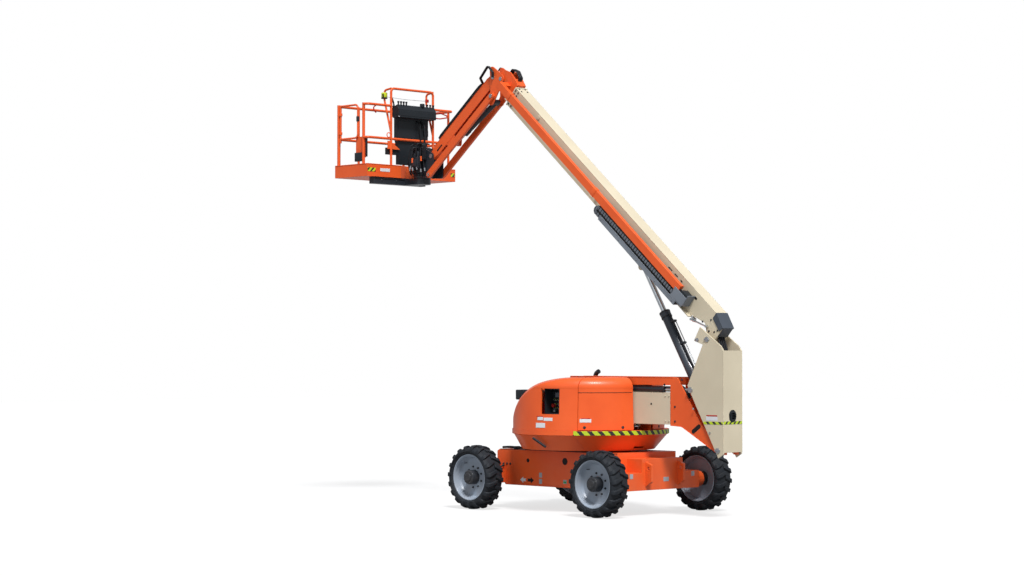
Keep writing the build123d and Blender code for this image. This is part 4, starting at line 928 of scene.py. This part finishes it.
# nose and jib
jibTrim = {
    "nosePin": (1.700, 6.300), "pin": (1.860, 6.340), "linkPin": (1.860, 6.055),  # x and z
    "noseOut": 0.112, "pinOut": 0.110, "linkOut": 0.162, "bolts": (0.36, 0.62, 0.88, 1.14, 1.40),
    "weldRun": (0.16, 1.58), "weldAcross": (0.079, -0.079), "hoses": (0.104, 0.129),
    "fittings": [(1.600, 6.205), (1.650, 6.245), (1.705, 6.215), (1.755, 6.250)],
}
with newPiece("nose_pin_heads", "bright_steel", "main_fly", 30) as shape:
    x, z = jibTrim["nosePin"]
    for side in leftRight:
        addDisc(shape, (x, side * jibTrim["noseOut"], z), (0, side, 0), 0.030, 0.002)
with newPiece("nose_fittings", "dark_steel", "main_fly", 30) as shape:
    for x, z in jibTrim["fittings"]:
        addBar(shape, (x, 0.085, z), (x, 0.108, z), 0.014, sides=6)
        addBar(shape, (x, 0.090, z), (x + 0.020, 0.096, z - 0.055), 0.010, sides=14)
with newPiece("jib_bracket_pin_heads", "bright_steel", "jib_bracket", 30) as shape:
    for side in leftRight:
        x, z = jibTrim["pin"]
        addDisc(shape, (x, side * jibTrim["pinOut"], z), (0, side, 0), 0.034, 0.007)
        addBolt(shape, (x, side * (jibTrim["pinOut"] + 0.006), z), (0, side, 0), 0.010, 0.007, washer=False)
        x, z = jibTrim["linkPin"]
        addDisc(shape, (x, side * jibTrim["linkOut"], z), (0, side, 0), 0.030, 0.005)
with newPiece("jib_boom_welds", "orange_paint", "jib_boom", 40) as shape:
    for side in leftRight:
        for s in jibTrim["bolts"]:
            addBolt(shape, (s, side * 0.055, 0.100), (0, side, 0), 0.006, 0.004, onJib)
        for t in jibTrim["weldAcross"]:
            run = [(s, side * 0.0855, t) for s in jibTrim["weldRun"]]
            addTube(shape, run, 0.0035, onJib, sides=8)
with newPiece("jib_boom_hose_pair", "hose_rubber", "jib_boom", 60) as shape:
    for t in jibTrim["hoses"]:
        run = [(0.28, 0.070, t - 0.012), (0.34, 0.070, t), (1.42, 0.070, t), (1.48, 0.070, t - 0.012)]
        addTube(shape, run, 0.0130, onJib, bend=0.04)
# thin black plates on the jib sides where it has slots: painted shade for the inside of the beam
with newPiece("jib_boom_slot_shade", "seam_black", "jib_boom", 30) as shape:
    for side in leftRight:
        addPlate(shape, (1.48, 1.62), sideRange(side, 0.085, 0.088), (-0.030, -0.006), onJib, 0.0008)
print("jib trimmed")

# platform
tray = {
    "tread": ((3.871, 4.469), (-0.834, 0.834), (4.9592, 4.9606)),
    "patches": [((3.7865, 3.7905), y, (5.003, 5.062)) for y in ((0.745, 0.905), (-0.895, -0.820))],
    "plate": ((3.7870, 3.7905), (0.455, 0.650), (5.012, 5.062)),
    "top": 5.120, "ends": (3.800, 4.540), "faces": (3.7895, 4.5505), "side": 0.905, "gap": 0.240,
    "feet": (4.9555, 4.972), "collars": (5.116, 5.128),
    "posts": [(4.5087, 0.874), (3.918, 0.877), (4.515, 0.467), (4.515, -0.467), (4.425, -0.880),
              (3.915, -0.880), (3.825, 0.400), (3.825, -0.470)],
}
with newPiece("platform_tread_sheet", "floor_tread", "platform") as shape:
    addBox(shape, *tray["tread"])
with newPiece("platform_hazard_patches", "hazard_y", "platform") as shape:
    for patch in tray["patches"]:
        addPlate(shape, *patch, bevel=0.0008)
with newPiece("platform_blank_plate", "white_plate", "platform") as shape:
    addPlate(shape, *tray["plate"], bevel=0.0008)
with newPiece("platform_tray_edges", "orange_paint", "platform", 60) as shape:
    y, z, gap = tray["side"], tray["top"], tray["gap"]
    (low, high), (front, back) = tray["ends"], tray["faces"]
    edges = [((low, y + 0.0105), (high, y + 0.0105)), ((low, -y - 0.0105), (high, -y - 0.0105)),
             ((front, gap), (front, y)), ((back, -y), (back, y)), ((front, -y), (front, -gap))]
    for edge in edges:
        addTube(shape, [(*end, z) for end in edge], 0.005, sides=8)
with newPiece("platform_post_collars", "orange_paint", "platform", 40) as shape:
    for x, y in tray["posts"]:
        for (low, high), radius in ((tray["feet"], 0.034), (tray["collars"], 0.031)):
            addBar(shape, (x, y, low), (x, y, high), radius, sides=28)

console = {
    "leverX": 3.770, "levers": (0.300, 0.245, 0.190, 0.135),
    "buttonX": 3.775, "buttons": (-0.300, -0.365, -0.430), "stopY": -0.200,
    "stick": [(3.850, 0.318, 6.030), (3.856, 0.322, 6.090), (3.870, 0.345, 6.170)],
    "topAt": (3.822, 6.0475, -math.degrees(math.atan2(0.040, 0.110)), -0.060),  # x, z, angle, y
    "panels": [((3.7265, 3.7305), (-0.425, 0.305), (5.893, 5.965), 0.002),
               ((3.8420, 3.8460), (-0.060, 0.240), (5.560, 5.820), 0.003)],
    "boltY": (-0.37, 0.25), "boltZ": (5.905, 5.953),
    "mark": ((3.7262, 3.7300), (0.312, 0.328), (5.868, 5.884)),
    "glands": ((-0.30, 5.78), (-0.33, 5.66)),  # y and z of their middles
    "hoses": [([(3.842, -0.150, 5.840), (3.800, -0.170, 5.800), (3.795, -0.180, 5.600),
                (3.815, -0.200, 5.400), (3.83, -0.21, 5.20)], 0.012),
              ([(3.842, -0.230, 5.840), (3.790, -0.260, 5.760), (3.780, -0.260, 5.560),
                (3.800, -0.250, 5.330), (3.83, -0.24, 5.16)], 0.014)],
}
with newPiece("console_knobs", "black_plastic", "platform", 40) as shape:
    x = console["leverX"]
    for y in console["levers"]:
        addBar(shape, (x, y, 6.055), (x, y, 6.100), 0.012, sides=18)
        addBar(shape, (x, y, 6.092), (x, y, 6.118), 0.017, sides=18, bevel=0.004)
    x, y = console["buttonX"], console["stopY"]
    addBar(shape, (x, y, 6.052), (x, y, 6.110), 0.038, sides=28, bevel=0.010)
    for y in console["buttons"]:
        addBar(shape, (x, y, 6.050), (x, y, 6.092), 0.013, sides=18)
        addBar(shape, (x, y, 6.085), (x, y, 6.105), 0.018, sides=18, bevel=0.004)
    addTube(shape, console["stick"], 0.013, bend=0.02)
    addBar(shape, (3.850, 0.318, 6.026), (3.850, 0.318, 6.050), 0.030, sides=28, bevel=0.006)
with newPiece("console_top_plate", "grey_plastic", "platform", 30) as shape:
    leaned = turnedUp(*console["topAt"])
    addPlate(shape, (-0.050, 0.050), (-0.375, 0.375), (-0.006, 0.0025), leaned, 0.002)
with newPiece("console_face_panels", "black_plastic", "platform", 30) as shape:
    for x, y, z, chamfer in console["panels"]:
        addPlate(shape, x, y, z, bevel=chamfer)
    for y in console["boltY"]:
        for z in console["boltZ"]:
            addBolt(shape, (3.7265, y, z), (-1, 0, 0), 0.006, 0.004, washer=False)
with newPiece("console_white_mark", "white_plate", "platform") as shape:
    addPlate(shape, *console["mark"], bevel=0.002)
with newPiece("console_hoses", "hose_rubber", "platform", 40) as shape:
    for y, z in console["glands"]:
        addBox(shape, (3.838, 3.8465), (y - 0.055, y + 0.050), (z - 0.050, z + 0.045), bevel=0.004)
    for run, radius in console["hoses"]:
        addTube(shape, run, radius, bend=0.05)

beacon = {"x": 3.985, "y": 0.400, "base": (6.160, 6.180), "lens": (6.175, 6.255), "radius": 0.046}
x, y, radius = beacon["x"], beacon["y"], beacon["radius"]
with newPiece("platform_beacon", "lime_plastic", "platform", 40) as shape:
    low, high = beacon["lens"]
    addBar(shape, (x, y, low), (x, y, high), radius, sides=28, bevel=0.010)
with newPiece("platform_beacon_base", "seam_black", "platform", 40) as shape:
    low, high = beacon["base"]
    addBar(shape, (x, y, low), (x, y, high), radius + 0.003, sides=28, bevel=0.004)
    addBox(shape, (3.955, 3.975), (0.395, 0.450), (6.180, 6.235), bevel=0.004)
with newPiece("platform_stop_wire", "silver_plate", "platform", 60) as shape:
    run = [(3.980, 0.385, 6.195), (3.985, 0.0, 6.180), (3.980, -0.455, 6.185)]
    addTube(shape, run, 0.0035, sides=8, bend=0.2)
grabLoops = [  # y and z round each loop, radius at the bends
    ([(0.705, 6.030), (0.755, 5.995), (0.755, 5.950), (0.705, 5.915)], 0.03),
    ([(-0.515, 5.995), (-0.595, 6.005), (-0.770, 5.965), (-0.770, 5.935), (-0.595, 5.905),
      (-0.515, 5.915)], 0.05),
]
with newPiece("platform_grab_loops", "red_plastic", "platform", 60) as shape:
    addBox(shape, (3.955, 4.000), (-0.505, -0.455), (6.165, 6.215), bevel=0.008)
    for loop, bend in grabLoops:
        addTube(shape, [(3.8255, y, z) for y, z in loop], 0.010, bend=bend)
with newPiece("platform_lanyard_ring", "orange_paint", "platform", 60) as shape:
    spots = [(3.808, 0.463 + y, 5.584 + z) for y, z in aroundCircle(0.036, 24)]
    for start, end in zip(spots, spots[1:] + spots[:1]):
        addBar(shape, start, end, 0.007, sides=10)
with newPiece("platform_document_box", "black_plastic", "platform", 30) as shape:
    addBox(shape, (3.926, 4.100), (0.855, 0.905), (5.164, 5.298), bevel=0.006)
with newPiece("platform_document_strap", "black_plastic", "platform", 30) as shape:
    addBox(shape, (3.845, 3.884), (0.856, 0.872), (5.230, 5.530), bevel=0.003)
with newPiece("gate_latch", "dark_steel", "platform_gate", 30) as shape:
    addBox(shape, (4.030, 4.062), (0.865, 0.9045), (5.780, 5.860), bevel=0.004)
    addBar(shape, (4.046, 0.885, 5.850), (4.046, 0.885, 5.905), 0.008, sides=14)
footSwitch = [  # base, two cheeks, hood and pedal, each with its bevel
    ((3.935, 4.060), (-0.060, 0.095), (4.961, 4.985), 0.004),
    ((3.945, 4.050), (-0.050, -0.040), (4.985, 5.055), 0.003),
    ((3.945, 4.050), (0.075, 0.085), (4.985, 5.055), 0.003),
    ((3.945, 4.050), (-0.050, 0.085), (5.050, 5.060), 0.003),
    ((3.950, 4.045), (-0.035, 0.070), (4.992, 5.004), 0.003),
]
with newPiece("platform_foot_switch", "black_plastic", "platform", 30) as shape:
    for x, y, z, bevel in footSwitch:
        addBox(shape, x, y, z, bevel=bevel)
print("platform trimmed")

# platform support
rotator = {
    "pins": [(3.2374, 0.110, 5.2444, 0.034, 0.007),
             (3.2374, 0.162, 4.9594, 0.030, 0.005)],  # x, y, z, radius, height
    "x": 3.550, "collarRadius": 0.141, "collars": ((5.352, 5.372), (4.945, 4.962)),
    "boltCircle": 0.105, "boltZ": 5.390,
    "valves": [((3.425, 3.560), (0.112, 0.205), (5.060, 5.240), 0.008),
               ((3.440, 3.540), (0.200, 0.235), (5.090, 5.200), 0.006),
               ((3.400, 3.650), (-0.185, -0.112), (5.080, 5.300), 0.008)],
    "canisters": [(3.480, 5.240, 5.330, 0.030), (3.560, 5.040, 5.300, 0.022)],  # x, bottom, top, radius
}
with newPiece("support_pin_heads", "bright_steel", "platform_support", 30) as shape:
    for side in leftRight:
        for x, y, z, radius, height in rotator["pins"]:
            addDisc(shape, (x, side * y, z), (0, side, 0), radius, height)
    for x, y in aroundCircle(rotator["boltCircle"], 8):
        addBolt(shape, (rotator["x"] + x, y, rotator["boltZ"]), (0, 0, 1), 0.010, 0.010)
with newPiece("rotator_valves", "dark_steel", "platform_support", 30) as shape:
    x, radius = rotator["x"], rotator["collarRadius"]
    for low, high in rotator["collars"]:
        addBar(shape, (x, 0, low), (x, 0, high), radius, sides=48, bevel=0.004)
    for x, y, z, bevel in rotator["valves"]:
        addBox(shape, x, y, z, bevel=bevel)
    for x, low, high, radius in rotator["canisters"]:
        addBar(shape, (x, 0.150, low), (x, 0.150, high), radius, sides=24, bevel=0.004)
whips = [  # x, y, top, bottom, radius, bow
    (3.340, 0.128, 5.430, 4.975, 0.011, 0.030), (3.395, 0.160, 5.400, 4.960, 0.012, 0.022),
    (3.450, 0.190, 5.440, 5.000, 0.010, 0.040), (3.520, 0.215, 5.380, 4.985, 0.012, 0.030),
    (3.585, 0.200, 5.420, 5.010, 0.011, 0.028), (3.640, 0.165, 5.360, 4.990, 0.012, 0.036),
]
with newPiece("support_whip_hoses", "hose_rubber", "platform_support", 60) as shape:
    for x, y, top, bottom, radius, bow in whips:
        run = [(x - 0.030, y - 0.060, top), (x, y, top + 0.010), (x + bow, y + 0.020, (top + bottom) / 2),
               (x, y, bottom), (x + 0.030, y - 0.050, bottom - 0.010)]
        addTube(shape, run, radius, bend=0.07)
with newPiece("support_hose_ends", "bright_steel", "platform_support", 30) as shape:
    for x, y, top, bottom, radius, bow in whips:
        high, low = (x + bow * 0.25, y + 0.005, bottom + 0.095), (x + bow * 0.1, y + 0.002, bottom + 0.045)
        addBar(shape, high, low, radius * 1.5, sides=6)
with newPiece("support_hose_bands", "orange_paint", "platform_support", 40) as shape:
    for x, y, z in ((3.392, 0.168, 5.175), (3.520, 0.232, 5.150)):
        addBar(shape, (x, y, z), (x, y, z + 0.070), 0.0150, sides=16)
with newPiece("carrier_bolts", "dark_steel", "platform", 30) as shape:
    for y in (-0.20, 0.0, 0.30, 0.60):
        addBolt(shape, (3.810, y, 4.878), (-1, 0, 0), 0.011, 0.009)
    addPlate(shape, (3.800, 3.812), (-0.28, 0.74), (4.905, 4.915), bevel=0.002)
print("platform support trimmed")

# floor, light and camera
studio = {"keyEnergy": 4.1, "fillEnergy": 0.15, "sky": (0.93, 0.96, 1.0, 1), "skyStrength": 0.42,
          "floorSize": 60.0, "floorSeen": 0.80, "floorBounce": 0.30, "floorGlow": 0.72}


def cameraRays(tree):  # 1 for what the camera sees, straight or through glass
    paths = tree.nodes.new("ShaderNodeLightPath")
    return maths(tree, "MAXIMUM", paths.outputs["Is Camera Ray"], paths.outputs["Is Transmission Ray"])


def mixShaders(tree, factor, first, second, output):
    mix = tree.nodes.new("ShaderNodeMixShader")
    for socket, source in zip(mix.inputs, (factor, first.outputs[0], second.outputs[0])):
        tree.links.new(source, socket)
    tree.links.new(mix.outputs[0], tree.nodes[output].inputs["Surface"])


floorShape = bmesh.new()
bmesh.ops.create_grid(floorShape, x_segments=2, y_segments=2, size=studio["floorSize"])
floorMesh = bpy.data.meshes.new("studio_floor")
floorShape.to_mesh(floorMesh)
floorShape.free()
floor = bpy.data.objects.new("studio_floor", floorMesh)
bpy.context.scene.collection.objects.link(floor)
floorLook, floorTree, floorShader = startMaterial("studio_floor_look")[:3]
floorShader.inputs["Roughness"].default_value = 0.9
seen = cameraRays(floorTree)
seenGrey, bounceGrey = ([studio[key]] * 3 + [1] for key in ("floorSeen", "floorBounce"))
floorTree.links.new(mixColour(floorTree, seen, bounceGrey, seenGrey), floorShader.inputs["Base Color"])
glow = nodeIn(floorTree, "ShaderNodeEmission", Strength=1.0)
glowing = maths(floorTree, "MULTIPLY", seen, studio["floorGlow"])
mixShaders(floorTree, glowing, floorShader, glow, "Material Output")
floorMesh.materials.append(floorLook)

world = bpy.data.worlds.new("studio")
bpy.context.scene.world = world
world.use_nodes = True
worldTree = world.node_tree
sky = worldTree.nodes["Background"]
sky.inputs["Color"].default_value = studio["sky"]
sky.inputs["Strength"].default_value = studio["skyStrength"]
backdrop = nodeIn(worldTree, "ShaderNodeBackground", Color=(1, 1, 1, 1), Strength=1.0)
mixShaders(worldTree, cameraRays(worldTree), sky, backdrop, "World Output")


def addSun(name, energy, towards, softness):
    light = bpy.data.lights.new(name, "SUN")
    light.energy = energy
    light.angle = math.radians(softness)
    lamp = bpy.data.objects.new(name, light)
    lamp.rotation_euler = Vector(towards).to_track_quat("-Z", "Y").to_euler()
    bpy.context.scene.collection.objects.link(lamp)


addSun("key_sun", studio["keyEnergy"], (0.62, -0.39, -1.08), 14)
addSun("fill_sun", studio["fillEnergy"], (0.1, -1.0, -0.35), 40)

view = {"spot": (-23.6265, 23.607, 2.284), "turn": -44.217, "rise": 1.539, "lens": 80.454, "sensor": 36.0}
turn, rise = math.radians(view["turn"]), math.radians(view["rise"])
facing = Vector((math.cos(rise) * math.cos(turn), math.cos(rise) * math.sin(turn), math.sin(rise)))
camera = bpy.data.objects.new("camera", bpy.data.cameras.new("camera"))
camera.location = view["spot"]
camera.rotation_euler = facing.to_track_quat("-Z", "Y").to_euler()
camera.data.lens = view["lens"]
camera.data.sensor_width = view["sensor"]
camera.data.clip_end = 300.0
bpy.context.scene.collection.objects.link(camera)
bpy.context.scene.camera = camera
bpy.context.scene.view_settings.view_transform = "Standard"

print("scene ready")
